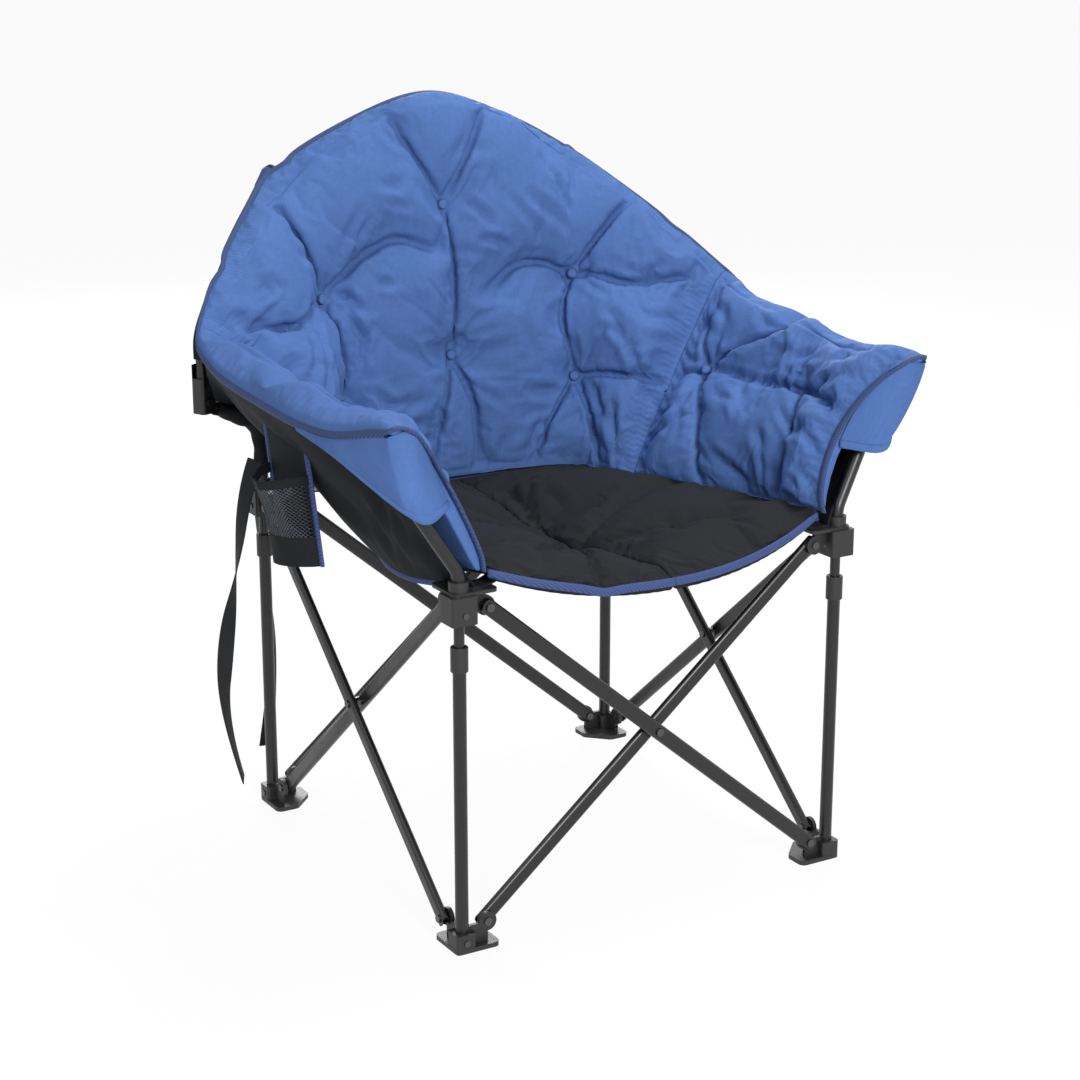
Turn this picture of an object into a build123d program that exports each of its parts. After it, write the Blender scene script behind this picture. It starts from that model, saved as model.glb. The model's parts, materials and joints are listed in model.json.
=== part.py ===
from build123d import *
import os
from math import atan2, degrees, hypot, radians, tan

os.makedirs("parts", exist_ok=True)

# A camping chair that folds towards its middle. Four scissors join four telescoping legs in a square,
# and a padded tub of fabric hangs between the tops of the legs. Millimetres, Z up, the sitter faces -Y.
# The origin lies on the floor under the middle of the chair's box.

# Frame
leg_spacing = 540.0
frame_back = -7.6
hub_height = 34.0
hub_below_pivot = 16.0
flange_thickness = 4.0
boss_height = 12.0
pivot_inset = 34.0
foot_pivot_height = 30.0
hub_pivot_height = 428.0

# Tubes
lower_tube_radius = 8.0
upper_tube_radius = 6.35
post_radius = 8.0
tube_wall = 1.2
collar_radius = 10.5
collar_height = 31.0
collar_drop = 29.0
collar_lip = 8.0
collar_round = 1.0
upper_tube_low = 110.0
bar_width = 19.0
bar_thickness = 10.0

# Mouldings
socket_half = 13.0
hub_half = 17.0
moulding_round = 4.0
ear_thickness = 5.0
ear_radius = 12.0
foot_plate = 6.0
foot_socket_height = 24.0
flange_round = 8.0

# Fasteners
rivet_radius = 2.9
rivet_head_radius = 5.0
rivet_head_height = 2.0
pin_radius = 2.0
pin_head_radius = 3.8
pin_head_height = 1.4
foot_pin_height = 13.0
hub_pin_rise = 12.0
spacer_radius = 7.0

# Clearances
press_clearance = 0.05
rivet_clearance = 0.1
side_clearance = 0.5
slip_clearance = 0.3
cloth_gap = 0.5

# Front posts: how far they lean back over their rise above the hub
post_stub = 25.0
post_back = 26.0
post_rise = 146.0
post_bend = 34.0

# Rear supports, brackets and back uprights
support_rise = 86.0
support_bend = 45.0
bracket_out = 97.0
bracket_forward = 43.0
bracket_rise = 138.0
bracket_rivet_gap = 36.0
bracket_wall = 2.5
bracket_play = 0.4
bracket_tail = 15.0
bracket_head = 13.0
bracket_round = 5.0
support_tail = 5.0
upright_tail = 12.0
upright_turns = [(0.0, 0.0, 55.0), (66.0, 32.0, 150.0), (148.0, 92.0, 240.0)]
upright_bend = 60.0

# Tub of padded fabric: where each station's wall leaves the seat and where its rim runs, from the middle
# of the back round to the front of an arm. Across and back are shares of half the leg spacing, and the
# heights are above the top of the hub.
tub_seam = [(0.0, 0.904, -14), (0.381, 0.867, -13), (0.641, 0.737, -12), (0.744, 0.5, -12),
            (0.76, 0.35, -11), (0.822, 0.11, -9), (0.944, -0.278, -4), (0.978, -0.556, 2),
            (0.948, -0.8, 12), (0.915, -1.02, 22)]
tub_rim = [(0.0, 1.111, 499), (0.407, 1.133, 469), (0.815, 1.111, 412), (1.178, 0.87, 329),
           (1.47, 0.593, 246), (1.507, 0.407, 224), (1.489, -0.111, 209), (1.467, -0.481, 202),
           (1.43, -0.833, 204), (1.381, -1.122, 208)]
rim_roll = [8.0, 8.0, 8.0, 10.0, 14.0, 22.0, 28.0, 28.0, 28.0, 24.0]
wall_flare = [1.0, 1.0, 1.0, 1.0, 1.0, 4.0, 6.0, 8.0, 8.0, 8.0]
low_tuft = [0.335, 0.32, 0.29, 0.36, 0.45, 0.57, 0.5, 0.5, 0.5, 0.5]
high_tuft = [0.735, 0.7, 0.62, 0.7, 0.75, 0.8, 0.78, 0.78, 0.78, 0.78]
low_depth = [9.0, 36.0, 9.0, 34.0, 12.0, 9.0, 28.0, 30.0, 22.0, 9.0]
high_depth = [9.0, 34.0, 9.0, 30.0, 12.0, 24.0, 28.0, 28.0, 22.0, 9.0]
seam_thickness = 14.0
rim_thickness = 20.0
rim_drop = 9.0
pad_swell = 7.0
arm_start = 4
shell_thickness = 2.5

# Seat pad, in two halves along its centre crease: from the back edge to the front edge
seat_ribs = [2, 3, 4, 5, 6, 7, 8, 9]
seat_middle = [0.835, 0.6, 0.36, 0.08, -0.278, -0.56, -0.82, -1.02]
seat_middle_height = [-14.0, -18.0, -22.0, -28.0, -24.0, -20.0, -14.0, -8.0]
seat_swell = [3.0, 8.0, 12.0, 14.0, 14.0, 13.0, 11.0, 8.0]
seat_front_bow = 36.0
seat_front_fall = 6.0
seat_depth = [14.0, 20.0, 23.0, 23.0, 23.0, 23.0, 20.0, 14.0]
seat_edge_depth = 11.0
seat_edge_gap = 0.6
seat_split = 0.4

# Buttons
button_radius = 8.0
button_height = 5.0
button_sink = 2.0
button_round = 3.5
button_well = 30.0

# Arm pockets over the tips of the posts
pocket_thickness = 2.0
pocket_gap = 5.0
pocket_foot_gap = 2.4
pocket_run = 112.0
pocket_foot_spread = 21.0
pocket_drop = 96.0
pocket_foot_run = 52.0
pocket_foot_share = 0.35
pocket_top_drop = 14.0

# Seat tabs
tab_width = 26.0
tab_thickness = 1.6
tab_length = 28.0

# Cup holder on the right arm
cup_width = 112.0
cup_depth = 46.0
cup_straight = 14.0
cup_height = 136.0
cup_wall = 2.5
cup_taper = 8.0
cup_station_index = 6
cup_back = 20.0
cup_top_share = 0.58
hanger_top_share = 0.9
cup_stand_off = 36.0
hanger_gap = 0.6

# Hanging straps at the rear right corner, points from the rear right leg at the top of its hub
strap_width = 25.0
strap_thickness = 1.6
long_strap = [(-9.3, 0, 54), (-30, -4, 4), (-60, -48, -84),
              (-93, -72, -184), (-98, -72, -286), (-71, -66, -378)]
short_strap = [(0, 9.3, 32), (2, 30, -14), (10, 44, -104),
               (28, 40, -198), (38, 32, -290), (8, 30, -377)]
bend_share = 0.45

# Worked out from the sizes above
half = leg_spacing / 2
hub_low = hub_pivot_height - hub_below_pivot
hub_top = hub_low + hub_height
hub_pin_height = hub_low + hub_pin_rise
collar_top = hub_low - collar_drop
flange_top = hub_top + flange_thickness
boss_top = flange_top + boss_height
bar_offset = ear_thickness / 2 + side_clearance + bar_thickness / 2
bar_reach = bar_offset + bar_thickness / 2 + slip_clearance
bar_run = leg_spacing - 2 * pivot_inset
bar_rise = hub_pivot_height - foot_pivot_height
bar_length = hypot(bar_run, bar_rise)
bar_angle = degrees(atan2(bar_rise, bar_run))
post_out = (tub_rim[-1][0] - 1) * half - post_radius - pocket_gap
corners = {"front_right": 0, "front_left": 90, "rear_left": 180, "rear_right": 270}
sides = {"front": 0, "left": 90, "rear": 180, "right": 270}
UP = (Align.CENTER, Align.CENTER, Align.MIN)
saved = []


def save(name, shape):
    """Write one piece to its own file."""
    shape.label = name
    export_step(shape, f"parts/{name}.step")
    saved.append(name)


def at_frame(shape, turn=0):
    """Turn a shape about the middle of the four legs and set it in the chair's frame."""
    return Pos(0, frame_back, 0) * Rot(0, 0, turn) * shape


def at_leg(shape):
    """Set a shape that was made about a leg's axis at the front right leg."""
    return Pos(-half, -half, 0) * shape


def round_bar(radius, low, high):
    return Pos(0, 0, low) * Cylinder(radius, high - low, align=UP)


def cross_bar(radius, start, end, across, height):
    """A round bar along Y from start to end, at a place across X and a height."""
    return Pos(across, start, height) * Rot(-90, 0, 0) * Cylinder(radius, end - start, align=UP)


def rivet(start, end, across, height):
    """A rivet along Y: its shank runs from start to end, with a head outside each."""
    shank = cross_bar(rivet_radius, start, end, across, height)
    first = cross_bar(rivet_head_radius, start - rivet_head_height, start, across, height)
    second = cross_bar(rivet_head_radius, end, end + rivet_head_height, across, height)
    return shank + first + second


def pin(reach, height):
    """A pin along Y through a moulding and the leg in it."""
    head = reach + pin_head_height
    shank = cross_bar(pin_radius, -head, reach, 0, height)
    return shank + cross_bar(pin_head_radius, -head, -reach, 0, height)


def ear(low, high, pivot):
    """A plate that stands beside a bar's end and carries its rivet."""
    align = (Align.MIN, Align.CENTER, Align.MIN)
    plate = Pos(0, 0, low) * Box(pivot_inset, ear_thickness, high - low, align=align)
    tip = cross_bar(ear_radius, -ear_thickness / 2, ear_thickness / 2, pivot_inset, pivot)
    return plate + tip


def ear_hole(pivot):
    return cross_bar(rivet_radius + press_clearance, -half, half, pivot_inset, pivot)


def both_sides(shape):
    """The same shape along the two sides that meet at a corner."""
    return shape + Rot(0, 0, 90) * shape


def corner_plate(low, high):
    """A plate with a slanting inner edge that reaches past both ears."""
    near = -bar_reach
    far = pivot_inset + ear_radius
    outline = Polyline((near, near), (far, near), (far, hub_half), (hub_half, far), (near, far), close=True)
    plate = extrude(Pos(0, 0, low) * make_face(outline), high - low)
    return fillet(plate.edges().filter_by(Axis.Z), flange_round)


def socket_block(side, low, high):
    block = Pos(0, 0, low) * Box(2 * side, 2 * side, high - low, align=UP)
    return fillet(block.edges().filter_by(Axis.Z), moulding_round)


def foot():
    shape = corner_plate(0, foot_plate) + socket_block(socket_half, 0, foot_socket_height)
    shape += both_sides(ear(0, foot_pivot_height, foot_pivot_height))
    shape -= both_sides(ear_hole(foot_pivot_height))
    socket_top = foot_socket_height + foot_pivot_height
    shape -= round_bar(lower_tube_radius + press_clearance, foot_plate, socket_top)
    shape -= cross_bar(pin_radius + press_clearance, -half, half, 0, foot_pin_height)
    return at_leg(shape)


def hub():
    shape = corner_plate(hub_top, flange_top) + socket_block(hub_half, hub_low, hub_top)
    shape += round_bar(post_radius + moulding_round, flange_top, boss_top)
    shape += both_sides(ear(hub_pivot_height, hub_top, hub_pivot_height))
    shape -= both_sides(ear_hole(hub_pivot_height))
    shape -= round_bar(upper_tube_radius + press_clearance, 0, hub_top - flange_thickness)
    shape -= round_bar(post_radius + press_clearance, hub_top, boss_top + boss_height)
    shape -= cross_bar(pin_radius + press_clearance, -half, half, 0, hub_pin_height)
    return at_leg(shape)


def lower_tube():
    top = collar_top - collar_lip
    tube = round_bar(lower_tube_radius, foot_plate, top)
    tube -= round_bar(lower_tube_radius - tube_wall, 0, collar_top)
    tube -= cross_bar(pin_radius + press_clearance, -half, half, 0, foot_pin_height)
    return at_leg(tube)


def collar():
    low = collar_top - collar_height
    sleeve = round_bar(collar_radius, low, collar_top)
    sleeve = chamfer(sleeve.edges().group_by(Axis.Z)[0], (collar_radius - lower_tube_radius) / 2)
    sleeve = fillet(sleeve.edges().group_by(Axis.Z)[-1], collar_round)
    sleeve -= round_bar(lower_tube_radius + press_clearance, 0, collar_top - collar_lip)
    sleeve -= round_bar(lower_tube_radius - tube_wall, 0, collar_top + collar_lip)
    return at_leg(sleeve)


def upper_tube():
    top = hub_top - flange_thickness
    tube = round_bar(upper_tube_radius, upper_tube_low, top)
    tube -= round_bar(upper_tube_radius - tube_wall, 0, hub_top)
    tube -= cross_bar(pin_radius + press_clearance, -half, half, 0, hub_pin_height)
    return at_leg(tube)


def foot_rivets():
    """Two bar rivets, whose bars lie on the far side of the ears, and the pin of the leg."""
    bar = rivet(-ear_thickness / 2, bar_reach, pivot_inset, foot_pivot_height)
    return [at_leg(s) for s in (bar, Rot(0, 0, 90) * bar, pin(socket_half, foot_pin_height))]


def hub_rivets():
    bar = rivet(-bar_reach, ear_thickness / 2, pivot_inset, hub_pivot_height)
    return [at_leg(s) for s in (bar, Rot(0, 0, 90) * bar, pin(hub_half, hub_pin_height))]


def bar(slope, offset):
    """A flat-oval tube with round ends and three rivet holes, set on the front side at its slope."""
    section = Plane.YZ * Rot(0, 0, 90) * (
        SlotOverall(bar_width, bar_thickness)
        - SlotOverall(bar_width - 2 * tube_wall, bar_thickness - 2 * tube_wall)
    )
    tube = extrude(section, bar_length / 2 + bar_width / 2, both=True)
    ends = extrude(Plane.XZ * SlotCenterToCenter(bar_length, bar_width), bar_thickness / 2, both=True)
    tube = tube & ends
    for place in (-bar_length / 2, 0, bar_length / 2):
        tube -= cross_bar(rivet_radius + rivet_clearance, -bar_thickness, bar_thickness, place, 0)
    middle = (foot_pivot_height + hub_pivot_height) / 2
    return Pos(0, -half + offset, middle) * Rot(0, -slope, 0) * tube


def middle_rivet():
    """The rivet where two bars cross, and the spacer between them."""
    height = (foot_pivot_height + hub_pivot_height) / 2
    inside = bar_offset - bar_thickness / 2 - slip_clearance
    spacer = cross_bar(spacer_radius, -inside, inside, 0, height)
    spacer -= cross_bar(rivet_radius + press_clearance, -inside, inside, 0, height)
    return [Pos(0, -half, 0) * s for s in (rivet(-bar_reach, bar_reach, 0, height), spacer)]


def tube_along(path, radius, wall):
    start = Plane(origin=path @ 0, z_dir=path % 0)
    return sweep(start * (Circle(radius) - Circle(radius - wall)), path=path)


def front_post():
    """Bent tube from the front right hub up into the arm pocket."""
    low = Vector(-half, -half, hub_top)
    knee = low + Vector(0, 0, post_stub)
    tip = knee + Vector(-post_out, post_back, post_rise)
    return tube_along(FilletPolyline(low, knee, tip, radius=post_bend), post_radius, tube_wall)


# Places of the rear right bracket: its two rivets, and its own axes inward, along the rivets and up
lower_rivet = Vector(-half - bracket_out, half - bracket_forward, hub_top + bracket_rise)
upper_rivet = lower_rivet + Vector(0, 0, bracket_rivet_gap)
bracket_inward = Vector(bracket_out, bracket_forward, 0).normalized()
bracket_plane = Plane(origin=lower_rivet, x_dir=bracket_inward, z_dir=(0, 0, 1))
bracket_inside = post_radius + bracket_play


def rear_support():
    low = Vector(-half, half, hub_top)
    knee = low + Vector(0, 0, support_rise)
    tip = lower_rivet + (lower_rivet - knee).normalized() * support_tail
    tube = tube_along(FilletPolyline(low, knee, tip, radius=support_bend), post_radius, tube_wall)
    return tube - bracket_plane * cross_bar(rivet_radius + press_clearance, -half, half, 0, 0)


def bracket():
    """U-shaped channel: two cheeks hold the tubes, and its back stops below the pivot of the upright."""
    cheek = bracket_inside + bracket_wall
    top = bracket_rivet_gap + bracket_head
    size = bracket_tail + top
    shape = Pos(0, 0, -bracket_tail) * Box(2 * cheek, 2 * cheek, size, align=UP)
    shape = fillet(shape.edges().filter_by(Axis.Z).group_by(Axis.X)[0], bracket_round)
    room = Box(2 * cheek, 2 * bracket_inside, 2 * size, align=(Align.MIN, Align.CENTER, Align.CENTER))
    shape -= Pos(-bracket_inside, 0, 0) * room
    opening = Box(4 * cheek, 2 * bracket_inside, size, align=UP)
    shape -= Pos(0, 0, bracket_rivet_gap - rivet_head_radius) * opening
    for height in (0, bracket_rivet_gap):
        shape -= cross_bar(rivet_radius + press_clearance, -half, half, 0, height)
    return bracket_plane * shape


def bracket_rivets():
    reach = bracket_inside + bracket_wall
    return [bracket_plane * rivet(-reach, reach, 0, height) for height in (0, bracket_rivet_gap)]


def upright_points():
    low = upper_rivet - Vector(0, 0, upright_tail)
    return [low] + [upper_rivet + Vector(*turn) for turn in upright_turns]


def back_upright():
    """Bent tube from the bracket up behind the back's rim to the shoulder."""
    path = FilletPolyline(*upright_points(), radius=upright_bend)
    tube = tube_along(path, post_radius, tube_wall)
    hole = cross_bar(rivet_radius + rivet_clearance, -half, half, 0, bracket_rivet_gap)
    return tube - bracket_plane * hole


class Station:
    """One upright slice of the tub's wall, in the plane through its seam and its rim."""

    def __init__(self, number, mirror_side=1, shift=0.0):
        seam, rim = tub_seam[number], tub_rim[number]
        self.low = Vector(mirror_side * seam[0] * half, seam[1] * half, hub_top + seam[2])
        self.rim = Vector(mirror_side * rim[0] * half, rim[1] * half, hub_top + rim[2])
        self.number = number
        reach = Vector(self.rim.X - self.low.X, self.rim.Y - self.low.Y, 0)
        self.out = reach.normalized()
        slide = Vector(-self.out.Y, self.out.X, 0) * shift * mirror_side
        self.low, self.rim = self.low + slide, self.rim + slide
        self.edge = self.rim - self.out * rim_roll[number] - Vector(0, 0, rim_drop)
        chord = self.edge - self.low
        self.chord = chord
        self.face = Vector(0, 0, 1) * (reach.length / chord.length) - self.out * (chord.Z / chord.length)

    def on_wall(self, share, lift):
        """A point of the wall at a share of its height, lifted off it towards the sitter."""
        flare = 4 * share * (1 - share) * wall_flare[self.number]
        return self.low + self.chord * share + self.face * (flare + lift)

    def pad(self):
        """Section of the pad: flat back, rolled rim, and three swells between seam, tufts and rim."""
        k = self.number
        foot = self.on_wall(0, seam_thickness)
        low = self.on_wall(low_tuft[k], low_depth[k])
        high = self.on_wall(high_tuft[k], high_depth[k])
        brow = self.edge + self.face * rim_thickness
        crest = (self.rim + brow) / 2 + Vector(0, 0, rim_drop / 2)
        lines = [
            ThreePointArc(self.on_wall(0, 0), self.on_wall(0.5, 0), self.edge),
            Line(self.edge, self.rim),
            ThreePointArc(self.rim, crest, brow),
        ]
        for start, end in ((brow, high), (high, low), (low, foot)):
            lines.append(ThreePointArc(start, (start + end) / 2 + self.face * pad_swell, end))
        lines.append(Line(foot, self.on_wall(0, 0)))
        return make_face(lines)

    def shell(self):
        """Section of the cloth behind the pad."""
        near, far = -cloth_gap, -cloth_gap - shell_thickness
        return make_face([
            ThreePointArc(self.on_wall(0, near), self.on_wall(0.5, near), self.on_wall(1, near)),
            Line(self.on_wall(1, near), self.on_wall(1, far)),
            ThreePointArc(self.on_wall(1, far), self.on_wall(0.5, far), self.on_wall(0, far)),
            Line(self.on_wall(0, far), self.on_wall(0, near)),
        ])


def around(last):
    """Station numbers from one side of the back to the other, with the side that each is on."""
    return [(k, -1) for k in range(last, 0, -1)] + [(k, 1) for k in range(last + 1)]


def button_planes():
    """Where each button sits: a plane at its foot that faces the sitter."""
    planes = []
    for station in (Station(0), Station(2), Station(2, -1), Station(5), Station(5, -1)):
        k = station.number
        spots = [(low_tuft[k], low_depth[k])]
        if high_depth[k] == low_depth[k]:
            spots.append((high_tuft[k], high_depth[k]))
        for share, depth in spots:
            planes.append(Plane(origin=station.on_wall(share, depth - button_sink), z_dir=station.face))
    return planes


def with_button_seats(pad):
    """Draw a pad in round each button."""
    for plane in button_planes():
        seat = Cylinder(button_radius + slip_clearance, button_well, align=UP)
        pad -= plane * Pos(0, 0, -slip_clearance) * seat
    return pad


def back_pad():
    return with_button_seats(loft([Station(k, side).pad() for k, side in around(arm_start)], ruled=True))


def arm_pad(side):
    first = Station(arm_start, side, -cloth_gap)
    rest = [Station(k, side) for k in range(arm_start + 1, len(tub_rim))]
    return with_button_seats(loft([s.pad() for s in [first] + rest], ruled=True))


def outer_shell():
    return loft([Station(k, side).shell() for k, side in around(len(tub_rim) - 1)], ruled=True)


def seat_half(side):
    """Half of the seat pad: ribs from the centre crease to the wall, thin at the front and back edges."""
    sections = []
    for number, k in enumerate(seat_ribs):
        station = Station(k, side)
        edge = station.on_wall(0, seam_thickness) - station.out * seat_edge_gap
        middle_height = hub_top + seat_middle_height[number]
        middle = Vector(side * seat_split / 2, seat_middle[number] * half, middle_height)
        low_edge = edge - Vector(0, 0, seat_edge_depth)
        low_middle = middle - Vector(0, 0, seat_depth[number])
        rise = Vector(0, 0, seat_swell[number])
        sections.append(make_face([
            ThreePointArc(middle, (middle + edge) / 2 + rise, edge),
            Line(edge, low_edge),
            ThreePointArc(low_edge, (low_edge + low_middle) / 2 - rise / 2, low_middle),
            Line(low_middle, middle),
        ]))
    sections.append(Pos(0, -seat_front_bow, -seat_front_fall) * sections[-1])
    bow_radius = (edge.X ** 2 + seat_front_bow ** 2) / (2 * seat_front_bow)
    front = edge.Y - seat_front_bow
    inside = Pos(0, front + bow_radius, hub_top) * Cylinder(bow_radius, leg_spacing)
    return loft(sections, ruled=True) & inside


def tuft_buttons():
    """Round covered buttons in the seats of the pads."""
    dome = Cylinder(button_radius, button_height + button_sink, align=UP)
    dome = fillet(dome.edges().group_by(Axis.Z)[-1], button_round)
    return [plane * dome for plane in button_planes()]


def arm_pocket(side):
    """Cloth flap outside the tip of a post, hung from the arm's rim."""
    front = Station(len(tub_rim) - 1, side)
    start = Station(len(tub_rim) - 2, side)
    along = (start.rim - front.rim).normalized()
    out = Vector(side, 0, 0)
    drop = Vector(0, 0, -pocket_top_drop)
    top_front = front.rim + drop
    top_back = front.rim + along * pocket_run + drop
    foot_height = top_front.Z - pocket_drop
    climb = (foot_height - hub_top - post_stub) / post_rise
    across = half + post_out * climb + post_radius + pocket_foot_gap
    beside = Vector(side * across, post_back * climb - half, foot_height)
    foot_edge = Vector(side * pocket_foot_spread, pocket_foot_run, 0)
    low_front = beside - foot_edge * pocket_foot_share
    low_back = low_front + foot_edge
    sections = []
    for first, last in ((top_front, top_back), (low_front, low_back)):
        skin = out * pocket_thickness
        sections.append(make_face(Polyline(first, last, last + skin, first + skin, close=True)))
    return loft(sections, ruled=True)


def strap_between(start, end):
    """A flat length of webbing that lies level between two points."""
    run = end - start
    plane = Plane(origin=start, x_dir=run, z_dir=(0, 0, 1))
    return plane * Box(run.length, tab_width, tab_thickness, align=(Align.MIN, Align.CENTER, Align.MIN))


def seat_tabs():
    """Webbing from the tops of the hubs to the corners of the seat and the foot of the back."""
    shapes = []
    rest = flange_top + slip_clearance
    for side in (-1, 1):
        front = Vector(side * (half - hub_half), -half + hub_half, rest)
        seat_corner = Station(len(tub_rim) - 1, side).on_wall(0, seam_thickness)
        inner = Vector(seat_corner.X - side * tab_length, front.Y, rest)
        shapes.append(strap_between(front, inner))
        rear = Vector(side * (half - hub_half), half - hub_half, rest)
        back = Station(2, side).on_wall(tab_thickness / tab_width, -tab_width / 2)
        run = Vector(back.X - rear.X, back.Y - rear.Y, 0)
        shapes.append(strap_between(rear, rear + run))
    return shapes


def pouch_outline(width, depth, height):
    """A flat back, two short sides and a bulging front, seen from above."""
    back, front = width / 2, -depth
    return Pos(0, 0, height) * make_face([
        Line((0, back), (-cup_straight, back)),
        ThreePointArc((-cup_straight, back), (front, 0), (-cup_straight, -back)),
        Line((-cup_straight, -back), (0, -back)),
        Line((0, -back), (0, back)),
    ])


def cup_holder():
    """Open pouch that hangs from the rim of the right arm on a flat panel."""
    station = Station(cup_station_index, -1)
    behind = -cloth_gap - shell_thickness
    mouth = station.on_wall(cup_top_share, behind) + Vector(-cup_stand_off, cup_back, 0)
    top = station.on_wall(hanger_top_share, behind) - Vector(hanger_gap, 0, 0)
    low = -cup_height
    outer = loft([pouch_outline(cup_width - cup_taper, cup_depth - cup_taper, low),
                  pouch_outline(cup_width, cup_depth, 0)])
    width, depth = cup_width - 2 * cup_wall, cup_depth - 2 * cup_wall
    inner = loft([pouch_outline(width - cup_taper, depth - cup_taper, low + cup_wall),
                  pouch_outline(width, depth, cup_wall)])
    rise = Vector(top.X - mouth.X, 0, top.Z - mouth.Z)
    corners = [(0, -cup_wall), (rise.X, rise.Z), (rise.X - cup_wall, rise.Z), (-cup_wall, -cup_wall)]
    panel = make_face(Plane.XZ * Polyline(*corners, close=True))
    pouch = outer - Pos(-cup_wall, 0, 0) * inner
    return Pos(mouth) * (pouch + extrude(panel, cup_width / 2, both=True))


def strap(points, name):
    """Webbing along straight runs joined by arcs as large as the runs allow."""
    places = [Vector(*p) + Vector(-half, half, hub_top) for p in points]
    radii = []
    for before, corner, after in zip(places, places[1:], places[2:]):
        shorter = min((corner - before).length, (after - corner).length)
        turn = (corner - before).get_angle(after - corner)
        radii.append(bend_share * shorter / tan(radians(turn / 2)))
    path = FilletPolyline(*places, radius=radii)
    section = Plane(origin=path @ 0, x_dir=(path % 0).cross(Vector(0, 0, 1)), z_dir=path % 0)
    print(name, "radii", [round(r) for r in radii], "length", round(path.length))
    return sweep(section * Rectangle(strap_width, strap_thickness), path=path)


def save_frame():
    for corner, turn in corners.items():
        save(f"{corner}_foot", at_frame(foot(), turn))
        save(f"{corner}_lower_leg_tube", at_frame(lower_tube(), turn))
        save(f"{corner}_leg_collar", at_frame(collar(), turn))
        save(f"{corner}_upper_leg_tube", at_frame(upper_tube(), turn))
        save(f"{corner}_hub", at_frame(hub(), turn))
        save(f"{corner}_foot_rivets", Compound(children=[at_frame(s, turn) for s in foot_rivets()]))
        fasteners = [at_frame(s, turn) for s in hub_rivets()]
        if corner == "rear_right":
            fasteners += [at_frame(s) for s in bracket_rivets()]
        if corner == "rear_left":
            fasteners += [at_frame(mirror(s, about=Plane.YZ)) for s in bracket_rivets()]
        save(f"{corner}_hub_rivets", Compound(children=fasteners))
    for side, turn in sides.items():
        save(f"{side}_inner_bar", at_frame(bar(bar_angle, bar_offset), turn))
        save(f"{side}_outer_bar", at_frame(bar(-bar_angle, -bar_offset), turn))
        save(f"{side}_middle_rivet", Compound(children=[at_frame(s, turn) for s in middle_rivet()]))
    pairs = {"front_post": front_post, "rear_support": rear_support,
             "back_bracket": bracket, "back_upright": back_upright}
    for name, make in pairs.items():
        shape = make()
        save(f"right_{name}", at_frame(shape))
        save(f"left_{name}", at_frame(mirror(shape, about=Plane.YZ)))


def save_fabric():
    save("back_pad", at_frame(back_pad()))
    for name, side in (("right", -1), ("left", 1)):
        save(f"{name}_arm_pad", at_frame(arm_pad(side)))
        save(f"{name}_seat_pad", at_frame(seat_half(side)))
    save("outer_shell", at_frame(outer_shell()))
    save("tuft_buttons", Compound(children=[at_frame(s) for s in tuft_buttons()]))
    save("arm_pockets", Compound(children=[at_frame(arm_pocket(side)) for side in (-1, 1)]))
    save("seat_tabs", Compound(children=[at_frame(s) for s in seat_tabs()]))
    save("cup_holder", at_frame(cup_holder()))
    save("long_strap", at_frame(strap(long_strap, "long strap")))
    save("short_strap", at_frame(strap(short_strap, "short strap")))


save_frame()
save_fabric()
print(len(saved), "pieces; bar angle", round(bar_angle, 2), "length", round(bar_length, 1))
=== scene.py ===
import json
from math import pi, radians

import bpy
import numpy as np
from bpy.props import FloatProperty, FloatVectorProperty, IntProperty, PointerProperty
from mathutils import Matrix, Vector


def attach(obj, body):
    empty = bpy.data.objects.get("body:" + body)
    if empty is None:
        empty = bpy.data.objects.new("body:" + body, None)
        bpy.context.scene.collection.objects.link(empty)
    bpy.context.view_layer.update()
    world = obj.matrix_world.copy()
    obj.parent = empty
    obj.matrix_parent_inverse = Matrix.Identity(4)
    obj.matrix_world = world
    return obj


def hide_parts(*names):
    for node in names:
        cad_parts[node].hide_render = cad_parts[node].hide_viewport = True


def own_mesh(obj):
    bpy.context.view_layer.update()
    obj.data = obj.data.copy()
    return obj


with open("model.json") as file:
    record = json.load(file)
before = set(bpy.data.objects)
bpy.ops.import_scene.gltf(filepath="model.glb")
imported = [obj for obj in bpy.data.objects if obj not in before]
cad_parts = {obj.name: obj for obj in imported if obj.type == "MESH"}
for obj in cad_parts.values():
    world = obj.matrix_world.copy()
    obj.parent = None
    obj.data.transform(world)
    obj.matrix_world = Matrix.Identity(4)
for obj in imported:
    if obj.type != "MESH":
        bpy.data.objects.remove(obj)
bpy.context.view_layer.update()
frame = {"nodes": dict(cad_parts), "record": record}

bl_info = {
    "name": "Folding camping chair",
    "version": (1, 0, 0),
    "blender": (4, 5, 0),
    "location": "3D View > Sidebar > Chair",
    "description": "Dresses the folding frame with padded cloth, bindings, mesh and webbing",
    "category": "Object",
}

UP = np.array([0, 0, 1.0])
WHITE = (1, 1, 1, 1)
SIDES = (("right", -1), ("left", 1))

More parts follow.
